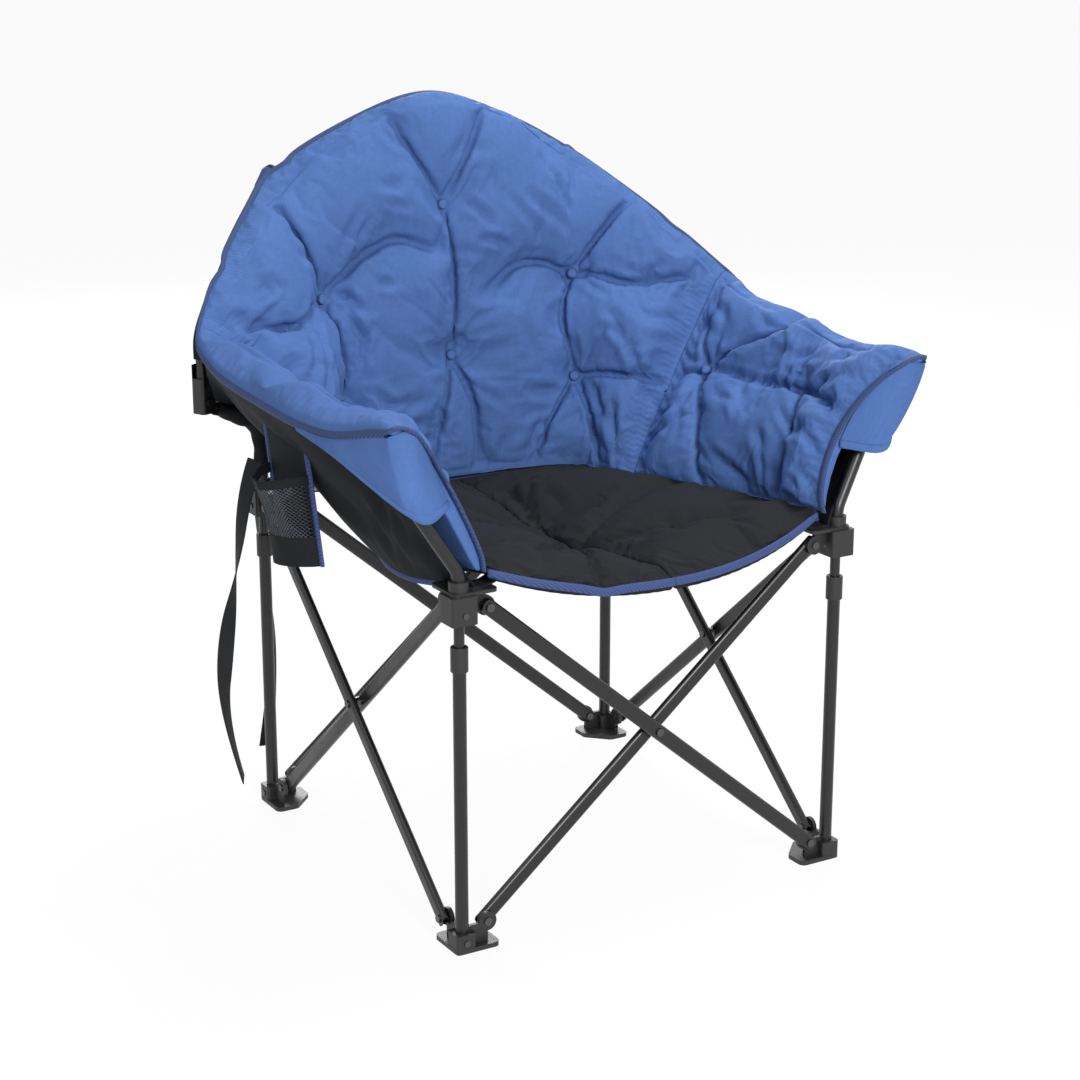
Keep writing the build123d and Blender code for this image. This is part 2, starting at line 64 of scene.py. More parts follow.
# The tub's stations, from the middle of the back round to the front of an arm, as the solids have them.
# Across and back are shares of half the leg spacing, and heights are millimetres above the hubs.
LEG_HALF = 0.270
FRAME_BACK = -0.0076
HUB_TOP = 0.446
SEAM_LINE = [(0.0, 0.904, -14), (0.381, 0.867, -13), (0.641, 0.737, -12), (0.744, 0.5, -12),
             (0.76, 0.35, -11), (0.822, 0.11, -9), (0.944, -0.278, -4), (0.978, -0.556, 2),
             (0.948, -0.8, 12), (0.915, -1.02, 22)]
RIM_LINE = [(0.0, 1.111, 499), (0.407, 1.133, 469), (0.815, 1.111, 412), (1.178, 0.87, 329),
            (1.47, 0.593, 246), (1.507, 0.407, 224), (1.489, -0.111, 209), (1.467, -0.481, 202),
            (1.43, -0.833, 204), (1.381, -1.122, 208)]
RIM_ROLL = [8, 8, 8, 10, 14, 22, 28, 28, 28, 24]
WALL_FLARE = [1, 1, 1, 1, 1, 4, 6, 8, 8, 8]
RIM_DROP = 0.009
BACK_END = 4
ARM_END = 9
ARM_FRONT_HOLLOW = 0.024

# How the bound edge leaves that rim: out over the uprights, in at two dents, and down along the arms
RIM_COVER = 0.003
RIM_CAP = 0.005
RIM_CAP_PLACE = 2.16
RIM_DENT = 0.006
RIM_DENTS = (1.90, 3.26)
RIM_SAG = 0.018

# Creases and tufts, each point as a station from the middle and a share of the wall's height
BACK_TUFTS = [(0, 0.735), (0, 0.335), (2, 0.62), (-2, 0.62), (2, 0.29), (-2, 0.29)]
ARM_TUFTS = [(5, 0.57)]
BACK_CREASES = [
    [(0, 0.735), (-0.33, 0.85), (-0.6, 0.97)],
    [(0, 0.735), (0.29, 0.84), (0.63, 0.97)],
    [(0, 0.735), (0.06, 0.53), (0, 0.335)],
    [(0, 0.335), (-0.2, 0.19), (-0.44, 0.01)],
    [(0, 0.335), (0.25, 0.2), (0.3, 0.04)],
    [(-2, 0.62), (-2.2, 0.8), (-2.35, 0.97)],
    [(-2, 0.62), (-1.25, 0.66), (-0.74, 0.67), (-0.24, 0.62)],
    [(-2, 0.62), (-1.9, 0.45), (-2, 0.29)],
    [(-2, 0.29), (-1.5, 0.13), (-1.2, 0.02)],
    [(-2, 0.29), (-2.6, 0.14), (-2.9, 0.02)],
    [(2, 0.62), (2.4, 0.79), (2.75, 0.98)],
    [(2, 0.62), (1.8, 0.46), (2, 0.29)],
    [(2, 0.62), (1.2, 0.6), (0.6, 0.52)],
    [(2, 0.29), (1.48, 0.14), (1.2, 0.02)],
    [(2, 0.29), (2.35, 0.16), (2.55, 0.02)],
    [(2, 0.62), (3.0, 0.72), (3.7, 0.9)],
    [(2, 0.29), (3.0, 0.36), (3.8, 0.42)],
    [(-2, 0.62), (-3.0, 0.7), (-3.7, 0.88)],
    [(-2, 0.29), (-3.0, 0.36), (-3.8, 0.42)],
]
ARM_CREASES = [
    [(5, 0.57), (5.6, 0.8), (6.0, 0.97)],
    [(5, 0.57), (5.3, 0.3), (5.5, 0.03)],
    [(5, 0.57), (6.2, 0.62), (7.2, 0.66), (8.4, 0.62)],
    [(5, 0.57), (4.4, 0.5)],
    [(5, 0.57), (4.6, 0.78)],
    [(7.0, 0.66), (7.3, 0.35), (7.4, 0.05)],
]

# How firmly a crease holds, how far the filling may push each cover, and points along and up its face
CREASE_HOLD = 0.35
BACK_PUFF = 0.014
ARM_PUFF = 0.012
SEAT_PUFF = 0.010
BACK_GRID = (176, 86)
ARM_GRID = (96, 56)

# The seat's ribs from its back edge to its front edge, as the solids have them
SEAT_STATIONS = [2, 3, 4, 5, 6, 7, 8, 9]
SEAT_MIDDLE = [0.835, 0.6, 0.36, 0.08, -0.278, -0.56, -0.82, -1.02]
SEAT_MIDDLE_HEIGHT = [-14, -18, -22, -28, -24, -20, -14, -8]
SEAT_SWELL = [3, 8, 12, 14, 14, 13, 11, 8]
SEAT_DEPTH = [14, 20, 23, 23, 23, 23, 20, 14]
SEAT_FRONT_BOW = 0.036
SEAT_FRONT_FALL = 0.006
SEAT_EDGE_DEPTH = 0.011

# How many points cross the seat's top and its underside
SEAT_TOP = 58
SEAT_UNDER = 16

# Where the seat's folds start and where they run to, across and back from the legs' middle
SEAT_STAR = (-0.020, -0.103)
SEAT_CREASES = [(0.034, 0.147), (-0.094, -0.293), (0.163, -0.007), (-0.120, -0.198), (-0.150, 0.010),
                (0.150, -0.200), (-0.060, 0.060)]

# The straps' routes from the rear right leg on the floor, in metres, and how far the webbing is turned
STRAPS = {
    "long_strap": [(-0.0093, 0, 0.486, 1.3), (-0.028, -0.004, 0.446, 1.35), (-0.060, -0.048, 0.362, 2.05),
                   (-0.093, -0.072, 0.262, 3.55), (-0.098, -0.072, 0.160, 2.4),
                   (-0.071, -0.066, 0.068, 2.3)],
    "short_strap": [(0, 0.0093, 0.478, 0), (0.002, 0.030, 0.432, 0), (0.014, 0.044, 0.342, 0.1),
                    (0.026, 0.040, 0.248, 0.5), (0.020, 0.034, 0.156, 0.8), (0.006, 0.030, 0.069, 1.2)],
}

# Lines of the smaller cloth pieces on the sitter's right, in millimetres about the legs' middle
POCKET_FOOT = [(-390, -195, 614), (-366, -243, 584), (-342, -280, 558), (-318, -290, 546)]
SUPPORT_LINE = [(-270, 270, 478), (-270, 270, 532), (-348, 235, 573)]
UPRIGHT_LINE = [(-367, 227, 640), (-367, 227, 675), (-301, 259, 770), (-222, 317, 857)]
GUSSET_TOP = [(-398, 150, 668), (-404, 100, 655), (-402, 20, 640)]
GUSSET_FOOT = [(-352, 226, 584), (-300, 240, 560), (-262, 120, 540)]

# The cup holder's panel in metres about the legs' middle: rear ends of its top and foot, and their runs
CUP_TOP = ((-0.376, 0.020, 0.622), (0.001, -0.110, -0.010))
CUP_FOOT = ((-0.358, 0.014, 0.432), (0.002, -0.104, 0.014))

# The webbing tabs in metres: where they start at the hubs, their slack, and where the right ones end
TAB_INSET = 0.010
TAB_RISE = 0.0052
TAB_SAG = 0.004
TAB_HALF = 0.0125
TAB_ENDS = (("front", -1, (-0.214, -0.262, 0.456)), ("rear", 1, (-0.176, 0.205, 0.447)))

# Bend radii of the two tubes that wear sleeves, and the sleeves' own radii, in metres
SUPPORT_BEND = 0.045
UPRIGHT_BEND = 0.060
SLEEVE_OUTSIDE = 0.0105
SLEEVE_INSIDE = 0.0083
CAP_RADIUS = 0.0118

# Lamps: name, place and size in metres, and watts
LAMPS = [("key", (-0.7, -3.7, 2.1), 1.5, 130), ("side", (-3.0, -1.2, 3.0), 1.5, 12),
         ("top", (0.9, 0.2, 3.2), 1.6, 62), ("back", (1.5, 3.4, 1.9), 1.6, 110)]

# Strength of the room's light, and how much the floor shines where it is looked at
AMBIENT = 0.27
FLOOR_GLOW = 0.93


def linear(code):
    """A colour written as sRGB hex, as linear red, green, blue and alpha."""
    parts = [int(code[k:k + 2], 16) / 255 for k in (1, 3, 5)]
    return tuple(p / 12.92 if p <= 0.04045 else ((p + 0.055) / 1.055) ** 2.4 for p in parts) + (1.0,)


def length_property(name, description, default):
    return FloatProperty(name=name, description=description, default=default, min=0.0, unit="LENGTH")


def colour_property(name, description, code):
    return FloatVectorProperty(name=name, description=description, default=linear(code), size=4,
                               min=0.0, max=1.0, subtype="COLOR")


class ChairSizes(bpy.types.PropertyGroup):
    """Sizes of the cloth that a maker would change."""
    pad: length_property("Pad", "Thickness of the back and arm pads between their tufts", 0.038)
    seam: length_property("Seam", "Thickness of the pads where they are sewn to the seat", 0.013)
    brow: length_property("Brow", "Thickness of the pads under the rolled rim", 0.020)
    tuft: length_property("Tuft", "Thickness left under a button", 0.020)
    crease: length_property("Crease", "Depth of the folds between the buttons", 0.016)
    fold_width: length_property("Fold width", "Half width of those folds", 0.013)
    binding: length_property("Binding", "Width of the tape sewn over the edges", 0.011)
    webbing: length_property("Webbing", "Width of the straps", 0.025)
    webbing_thickness: length_property("Webbing thickness", "Thickness of the straps", 0.0016)
    cloth: length_property("Cloth", "Thickness of the outer cloth", 0.002)
    thread: length_property("Thread", "Spacing of the weave, drawn coarse enough to show", 0.0022)
    hole: length_property("Mesh hole", "Spacing of the holes of the cup holder's net", 0.0056)
    surplus: FloatProperty(name="Surplus", description="Share of spare cloth that wrinkles", default=0.05)
    pressure: FloatProperty(name="Pressure", description="Push of the filling on the cloth", default=3.5)
    frames: IntProperty(name="Frames", description="Steps for which the cloth settles", default=22)


class ChairColours(bpy.types.PropertyGroup):
    """Colours of the cloth and the frame."""
    blue: colour_property("Blue cloth", "Cover of the back, the arms and the pockets", "#4b6aa3")
    black: colour_property("Black cloth", "Cover of the seat and the outside", "#1b1d20")
    navy: colour_property("Navy tape", "Binding of the rim", "#33446c")
    tape: colour_property("Blue tape", "Binding of the seat and the cup holder", "#374775")
    coat: colour_property("Powder coat", "Tubes and brackets of the frame", "#121214")
    nylon: colour_property("Nylon", "Moulded feet, hubs and collars", "#1d1d1f")
    steel: colour_property("Steel", "Plated rivets and pins", "#5c5c5e")
    floor: colour_property("Floor", "Paper under the chair and behind it", "#f4f4f4")


def node(tree, kind, inputs=None, **settings):
    """Add a shader node, with its settings, values and links."""
    made = tree.nodes.new(kind)
    for key, value in settings.items():
        setattr(made, key, value)
    for key, value in (inputs or {}).items():
        if isinstance(value, bpy.types.NodeSocket):
            tree.links.new(value, made.inputs[key])
        else:
            made.inputs[key].default_value = value
    return made


def shade(colour, factor):
    """The same colour, lighter or darker."""
    return tuple(min(1.0, c * factor) for c in colour[:3]) + (1.0,)


def band_scale(spacing):
    """Scale at which a wave texture repeats every spacing metres."""
    return 2 * pi / 20 / spacing


def make_material(name, look, *settings):
    """The material of that name, given its look when it is first asked for."""
    material = bpy.data.materials.get(name)
    if material is None:
        material = bpy.data.materials.new(name)
        material.use_nodes = True
        tree = material.node_tree
        tree.nodes.clear()
        surface = look(tree, *settings)
        node(tree, "ShaderNodeOutputMaterial", {"Surface": surface.outputs[0]})
    return material


def woven_polyester(tree, colour, thread, sheen):
    """Plain-woven polyester: crossing threads, matt with a soft sheen, and slightly uneven dye."""
    place = node(tree, "ShaderNodeTexCoord").outputs["UV"]
    threads = {"Vector": place, "Scale": band_scale(thread), "Distortion": 0.6}
    warp = node(tree, "ShaderNodeTexWave", threads, bands_direction="X").outputs["Fac"]
    weft = node(tree, "ShaderNodeTexWave", threads, bands_direction="Y").outputs["Fac"]
    weave = node(tree, "ShaderNodeMath", {0: warp, 1: weft}, operation="MULTIPLY").outputs[0]
    slub = node(tree, "ShaderNodeTexNoise", {"Vector": place, "Scale": 1 / (3 * thread), "Detail": 3.0})
    dye = node(tree, "ShaderNodeTexNoise", {"Vector": place, "Scale": 11.0, "Detail": 2.0})
    grain = node(tree, "ShaderNodeMath", {0: weave, 1: slub.outputs["Fac"]}, operation="ADD").outputs[0]
    ramp = node(tree, "ShaderNodeMapRange", {"Value": grain, 1: 0.3, 2: 1.3, 3: 0.0, 4: 1.0})
    mix = node(tree, "ShaderNodeMix", {0: ramp.outputs[0], 6: shade(colour, 0.84), 7: shade(colour, 1.12)},
               data_type="RGBA")
    tone = node(tree, "ShaderNodeMapRange", {"Value": dye.outputs["Fac"], 1: 0.3, 2: 0.7, 3: 0.92, 4: 1.06})
    dyed = node(tree, "ShaderNodeVectorMath", {0: mix.outputs[2], "Scale": tone.outputs[0]},
                operation="SCALE")
    bump = node(tree, "ShaderNodeBump", {"Strength": 0.22, "Distance": 0.0006, "Height": grain})
    return node(tree, "ShaderNodeBsdfPrincipled", {
        "Base Color": dyed.outputs[0], "Normal": bump.outputs[0], "Roughness": 0.82,
        "Specular IOR Level": 0.15, "Sheen Weight": sheen, "Sheen Roughness": 0.45,
        "Sheen Tint": shade(colour, 2.5)})


def ribbed_tape(tree, colour, rib):
    """Woven tape or webbing: close ribs across its width that catch a little light."""
    place = node(tree, "ShaderNodeTexCoord").outputs["Object"]
    ribs = node(tree, "ShaderNodeTexWave", {"Vector": place, "Scale": band_scale(rib), "Distortion": 1.5},
                bands_direction="DIAGONAL").outputs["Fac"]
    fuzz = node(tree, "ShaderNodeTexNoise", {"Vector": place, "Scale": 500.0, "Detail": 2.0})
    grain = node(tree, "ShaderNodeMath", {0: ribs, 1: fuzz.outputs["Fac"]}, operation="ADD")
    mix = node(tree, "ShaderNodeMix", {0: ribs, 6: shade(colour, 0.75), 7: shade(colour, 1.25)},
               data_type="RGBA")
    bump = node(tree, "ShaderNodeBump", {"Strength": 0.3, "Distance": 0.0006, "Height": grain.outputs[0]})
    return node(tree, "ShaderNodeBsdfPrincipled", {
        "Base Color": mix.outputs[2], "Normal": bump.outputs[0], "Roughness": 0.7,
        "Specular IOR Level": 0.25, "Sheen Weight": 0.1, "Sheen Tint": shade(colour, 2.5)})


def powder_coat(tree, colour):
    """Black powder coat on steel: satin, with the faint orange peel of baked paint."""
    place = node(tree, "ShaderNodeTexCoord").outputs["Object"]
    peel = node(tree, "ShaderNodeTexNoise", {"Vector": place, "Scale": 700.0, "Detail": 2.0}).outputs["Fac"]
    wear = node(tree, "ShaderNodeTexNoise", {"Vector": place, "Scale": 40.0, "Detail": 4.0}).outputs["Fac"]
    mix = node(tree, "ShaderNodeMix", {0: wear, 6: shade(colour, 0.8), 7: shade(colour, 1.3)},
               data_type="RGBA")
    gloss = node(tree, "ShaderNodeMapRange", {"Value": wear, 1: 0.3, 2: 0.7, 3: 0.26, 4: 0.38})
    bump = node(tree, "ShaderNodeBump", {"Strength": 0.12, "Distance": 0.0003, "Height": peel})
    return node(tree, "ShaderNodeBsdfPrincipled", {
        "Base Color": mix.outputs[2], "Roughness": gloss.outputs[0], "Normal": bump.outputs[0]})


def moulded_nylon(tree, colour):
    """Glass-filled nylon from a sparked mould: dull black with a fine grain."""
    place = node(tree, "ShaderNodeTexCoord").outputs["Object"]
    grit = node(tree, "ShaderNodeTexNoise", {"Vector": place, "Scale": 900.0, "Detail": 3.0}).outputs["Fac"]
    mix = node(tree, "ShaderNodeMix", {0: grit, 6: shade(colour, 0.8), 7: shade(colour, 1.25)},
               data_type="RGBA")
    bump = node(tree, "ShaderNodeBump", {"Strength": 0.25, "Distance": 0.0003, "Height": grit})
    return node(tree, "ShaderNodeBsdfPrincipled", {
        "Base Color": mix.outputs[2], "Normal": bump.outputs[0], "Roughness": 0.5})


def plated_steel(tree, colour):
    """Zinc-plated steel: grey metal with fine turning marks."""
    place = node(tree, "ShaderNodeTexCoord").outputs["Object"]
    marks = node(tree, "ShaderNodeTexNoise", {"Vector": place, "Scale": 1200.0, "Detail": 2.0})
    marks = marks.outputs["Fac"]
    gloss = node(tree, "ShaderNodeMapRange", {"Value": marks, 1: 0.3, 2: 0.7, 3: 0.25, 4: 0.45})
    mix = node(tree, "ShaderNodeMix", {0: marks, 6: shade(colour, 0.85), 7: shade(colour, 1.1)},
               data_type="RGBA")
    return node(tree, "ShaderNodeBsdfPrincipled", {
        "Base Color": mix.outputs[2], "Roughness": gloss.outputs[0], "Metallic": 1.0})


def blue_cloth(scene):
    return make_material("Blue woven polyester", woven_polyester, scene.chair_colours.blue,
                         scene.chair_sizes.thread, 0.15)


def black_cloth(scene):
    return make_material("Black woven polyester", woven_polyester, scene.chair_colours.black,
                         scene.chair_sizes.thread, 0.03)


def net_cord_painted_highlight(scene):
    """Knitted polyester net: its cords are painted a shade lighter than the cloth behind them, a painted
    highlight for the light that the threads catch.
    """
    return make_material("Black net cord", ribbed_tape, shade(scene.chair_colours.black, 5.0), 0.0015)


def navy_tape(scene):
    return make_material("Navy binding tape", ribbed_tape, scene.chair_colours.navy, 0.0022)


def blue_tape(scene):
    return make_material("Blue binding tape", ribbed_tape, scene.chair_colours.tape, 0.0022)


def black_webbing(scene):
    return make_material("Black polyester webbing", ribbed_tape, scene.chair_colours.black, 0.0024)


def both_halves(values, turned=False):
    """Station values of the left half, with those of the right half in front of them."""
    values = np.array(values, float)
    other = values[:0:-1].copy()
    if turned:
        other[:, 0] *= -1
    return np.concatenate([other, values])


def line_points(line):
    """A line of stations, in metres."""
    return np.array([(x * LEG_HALF, y * LEG_HALF + FRAME_BACK, HUB_TOP + z / 1000) for x, y, z in line])


def about_legs(line):
    """Points in metres, from millimetres about the legs' middle."""
    return np.array(line) / 1000 + np.array([0, FRAME_BACK, 0])


seam_points = both_halves(line_points(SEAM_LINE), turned=True)
rim_points = both_halves(line_points(RIM_LINE), turned=True)
roll_sizes = both_halves(np.array(RIM_ROLL) / 1000)
flare_sizes = both_halves(np.array(WALL_FLARE) / 1000)


def unit(vectors):
    """Vectors one long in the same directions."""
    return vectors / np.linalg.norm(vectors, axis=-1, keepdims=True)


def smooth_step(x):
    """Nought up to nought, one from one on, and smooth between."""
    x = np.clip(x, 0, 1)
    return x * x * (3 - 2 * x)


def hill(x):
    """Nought at nought and at one, and one half way."""
    return 4 * x * (1 - x)


def distances(points):
    """How far along its line each point lies."""
    strides = np.linalg.norm(np.diff(points, axis=0), axis=-1)
    return np.concatenate([np.zeros((1,) + strides.shape[1:]), np.cumsum(strides, axis=0)])


def through(values, places):
    """Values at places between stations, on a smooth line through all of them."""
    values = np.asarray(values)
    x = np.clip(np.asarray(places, float), 0, len(values) - 1)
    k = np.minimum(x.astype(int), len(values) - 2)
    f = (x - k).reshape(x.shape + (1,) * (values.ndim - 1))
    v = np.concatenate([[2 * values[0] - values[1]], values, [2 * values[-1] - values[-2]]])
    a, b, c, d = v[k], v[k + 1], v[k + 2], v[k + 3]
    square, cube = 2 * a - 5 * b + 4 * c - d, 3 * b - a - 3 * c + d
    return (2 * b + (c - a) * f + square * f ** 2 + cube * f ** 3) / 2


def between(first, last, rows):
    """A grid of points from one line to another."""
    share = np.linspace(0, 1, rows)[None, :, None]
    return first[:, None] * (1 - share) + last[:, None] * share


def wall_frame(places):
    """The wall at each place: its foot, rim and upper edge, and the directions out and to the sitter."""
    at = np.asarray(places, float) + ARM_END
    low, rim = through(seam_points, at), through(rim_points, at)
    reach = (rim - low) * np.array([1, 1, 0])
    level = np.linalg.norm(reach, axis=-1, keepdims=True)
    out = reach / level
    edge = rim - out * through(roll_sizes, at)[..., None] - UP * RIM_DROP
    chord = edge - low
    size = np.linalg.norm(chord, axis=-1, keepdims=True)
    face = UP * (level / size) - out * (chord[..., 2:] / size)
    return low, rim, edge, out, face


def wall(places, shares, lift=0.0):
    """Points at shares of the wall's height, lifted towards the sitter."""
    places, shares, lift = np.broadcast_arrays(np.asarray(places, float), shares, lift)
    low, _, edge, _, face = wall_frame(places)
    rise = hill(shares) * through(flare_sizes, places + ARM_END) + lift
    return low + (edge - low) * shares[..., None] + face * rise[..., None] + hollow(places, shares)


def hollow(places, shares):
    """How far the front of an arm is drawn back between its foot and its rim."""
    back = ARM_FRONT_HOLLOW * hill(shares) * smooth_step((np.abs(places) - 7.2) / 1.8)
    return back[..., None] * np.array([0, 1.0, 0])


def rim_line(places):
    """The bound edge of the pads: it covers the uprights, and hangs a little lower along the arms."""
    _, rim, _, out, _ = wall_frame(places)
    side = np.abs(np.asarray(places, float))[:, None]
    cover = RIM_COVER * smooth_step((side - 1.2) / 1.0) * (1 - smooth_step((side - 3.2) / 1.0))
    cover = cover + RIM_CAP * np.exp(-((side - RIM_CAP_PLACE) / 0.22) ** 2)
    for dent in RIM_DENTS:
        cover = cover - RIM_DENT * np.exp(-((side - dent) / 0.11) ** 2)
    sag = RIM_SAG * smooth_step((side - BACK_END) / 1.6) * (1 - smooth_step((side - 7.4) / 1.6))
    return rim + out * cover - UP * sag


def nearest(points, line):
    """Distance of each point from a line of points."""
    flat = points.reshape(-1, 3)
    best = np.full(len(flat), 1e9)
    for spot in line:
        best = np.minimum(best, np.linalg.norm(flat - spot, axis=1))
    return best.reshape(points.shape[:-1])


def crease_points(crease):
    """Points close together along a crease, on the wall."""
    corners = np.array(crease, float)
    steps = np.linspace(0, len(corners) - 1, 30 * (len(corners) - 1))
    spots = through(corners, steps)
    return wall(spots[:, 0], spots[:, 1])


def select(*pieces):
    """Select these objects alone, the first of them active."""
    bpy.ops.object.select_all(action="DESELECT")
    for piece in pieces:
        piece.select_set(True)
    bpy.context.view_layer.objects.active = pieces[0]


def add_skin(name, rings, material, marks=None, hoop=False, fan=False):
    """Add a skin through rings of points, each closed on itself. A hoop's last ring joins its first.

    The weave follows the skin's middle line, or each line along a skin that fans out. Marks are kept
    for folds that are pressed in later: where each point lies on the uncushioned surface.
    """
    count, around = rings.shape[:2]
    index = np.arange(count * around).reshape(count, around)
    nxt = np.roll(index, -1, axis=1)
    quads = np.stack([index[:-1], nxt[:-1], nxt[1:], index[1:]], axis=-1).reshape(-1, 4).tolist()
    if hoop:
        quads += np.stack([index[-1], nxt[-1], nxt[0], index[0]], axis=-1).tolist()
    else:
        quads += [index[0, ::-1].tolist(), index[-1].tolist()]
    mesh = bpy.data.meshes.new(name)
    mesh.from_pydata(rings.reshape(-1, 3).tolist(), [], quads)
    lines = rings if fan else np.repeat(rings[:, around // 3, None], around, 1)
    girth = distances(np.swapaxes(rings, 0, 1)).T
    places = np.stack([distances(lines), girth], axis=-1).reshape(-1, 2)
    layer = mesh.uv_layers.new(name="Cloth")
    corner = np.zeros(len(mesh.loops), int)
    mesh.loops.foreach_get("vertex_index", corner)
    layer.uv.foreach_set("vector", places[corner].astype(np.float32).ravel())
    mesh.polygons.foreach_set("use_smooth", np.ones(len(mesh.polygons), bool))
    mesh.validate()
    if marks is not None:
        flat = mesh.attributes.new("flat", "FLOAT_VECTOR", "POINT")
        flat.data.foreach_set("vector", marks.astype(np.float32).ravel())
    piece = bpy.data.objects.new(name, mesh)
    bpy.context.scene.collection.objects.link(piece)
    face_outwards(piece)
    mesh.materials.append(material)
    return piece


def face_outwards(piece):
    """Turn the faces of a closed skin outwards, and cut its ends into triangles."""
    select(piece)
    bpy.ops.object.mode_set(mode="EDIT")
    bpy.ops.mesh.select_face_by_sides(number=4, type="GREATER")
    bpy.ops.mesh.quads_convert_to_tris(quad_method="BEAUTY", ngon_method="BEAUTY")
    bpy.ops.mesh.select_all(action="SELECT")
    bpy.ops.mesh.normals_make_consistent(inside=False)
    bpy.ops.object.mode_set(mode="OBJECT")


def subdivide(piece):
    """Halve the faces of a piece along smooth lines."""
    modifier = piece.modifiers.new("Smooth", "SUBSURF")
    modifier.levels = 1
    modifier.render_levels = 1
    modifier.use_limit_surface = False
    select(piece)
    bpy.ops.object.modifier_apply(modifier=modifier.name)


def puff(piece, hold, sizes, limit):
    """Let the filling push the cover out while its sewn points hold, and keep the shape that it takes."""
    group = piece.vertex_groups.new(name="sewn")
    for weight in np.unique(hold[hold > 0]):
        group.add(np.flatnonzero(hold == weight).tolist(), float(weight), "REPLACE")
    cloth = piece.modifiers.new("Puff", "CLOTH")
    settings = cloth.settings
    settings.quality = 5
    settings.mass = 0.25
    settings.air_damping = 1.5
    settings.tension_stiffness = 12
    settings.compression_stiffness = 12
    settings.shear_stiffness = 4
    settings.bending_stiffness = 0.15
    settings.vertex_group_mass = group.name
    settings.shrink_min = -sizes.surplus
    settings.use_pressure = True
    settings.uniform_pressure_force = sizes.pressure
    settings.effector_weights.gravity = 0
    cloth.point_cache.frame_end = sizes.frames
    scene = bpy.context.scene
    for step in range(1, sizes.frames + 1):
        scene.frame_set(step)
    view = piece.evaluated_get(bpy.context.evaluated_depsgraph_get())
    after = np.zeros(len(piece.data.vertices) * 3, np.float32)
    view.data.vertices.foreach_get("co", after)
    before = np.zeros_like(after)
    piece.data.vertices.foreach_get("co", before)
    move = (after - before).reshape(-1, 3)
    far = np.linalg.norm(move, axis=1, keepdims=True)
    move *= limit * np.tanh(far / limit) / np.maximum(far, 1e-9)
    piece.modifiers.remove(cloth)
    piece.vertex_groups.remove(group)
    piece.data.vertices.foreach_set("co", (before.reshape(-1, 3) + move).ravel())
    piece.data.update()
    scene.frame_set(1)


def sew_on(piece, rings, material):
    """Add a closed skin through rings to a piece, as part of it."""
    addition = add_skin("sewn", rings, material)
    select(piece, addition)
    bpy.ops.object.join()


def sew_binding(piece, points, across, sizes, material):
    """Sew flattened tape over the edge of a piece, along points and wide along the directions across."""
    normal = unit(np.cross(np.gradient(points, axis=0), across))
    turn = np.linspace(0, 2 * pi, 13)[:-1, None, None]
    width, thickness = sizes.binding, sizes.binding * 0.5
    rings = points + across * np.cos(turn) * width / 2 + normal * np.sin(turn) * thickness / 2
    sew_on(piece, np.moveaxis(rings, 0, 1), material)


def add_sheet(name, grid, thickness, material, fan=False):
    """Add a thin sheet of cloth whose middle lies in a grid of points."""
    normal = np.cross(np.gradient(grid, axis=0), np.gradient(grid, axis=1))
    normal /= np.maximum(np.linalg.norm(normal, axis=-1, keepdims=True), 1e-9)
    half = normal * thickness / 2
    piece = add_skin(name, np.concatenate([grid + half, (grid - half)[:, ::-1]], axis=1), material, fan=fan)
    return piece


def fold_with_back(piece):
    """Give a piece a mesh of its own."""
    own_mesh(piece)


def fold_with_arm(piece):
    """Give a piece a mesh of its own."""
    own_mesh(piece)


def mirrored(grid, sign):
    """The same grid on the right, where it was made, or on the left."""
    return grid * np.array([-sign, 1, 1])


def sewn_folds(creases, sizes):
    """Sharp folds along the creases."""
    return [(crease_points(crease), sizes.crease * 0.35, sizes.fold_width * 0.4) for crease in creases]


def small_folds(seed, count, first, last, tufts):
    """Short wrinkles spread over a wall, most of them drawn towards the nearest button."""
    dice = np.random.default_rng(seed)
    folds = []
    for _ in range(count):
        place, share = dice.uniform(first, last), dice.uniform(0.05, 0.93)
        step_place = np.linalg.norm(wall(place + 0.05, share) - wall(place - 0.05, share)) * 10
        step_share = np.linalg.norm(wall(place, share + 0.02) - wall(place, share - 0.02)) * 25
        pulls = [((s - place) * step_place, (t - share) * step_share) for s, t in tufts]
        pull = min(pulls, key=lambda way: np.hypot(*way))
        angle = np.arctan2(pull[1], pull[0]) + dice.normal(0, 0.5)
        half = dice.uniform(0.012, 0.036)
        bend = dice.normal(0, 0.25)
        k = np.linspace(-1, 1, 14)
        turned = angle + bend * k
        line = wall(place + np.cos(turned) * half * k / step_place,
                    share + np.sin(turned) * half * k / step_share)
        folds.append((line, dice.uniform(0.002, 0.0055), dice.uniform(0.005, 0.009)))
    return folds


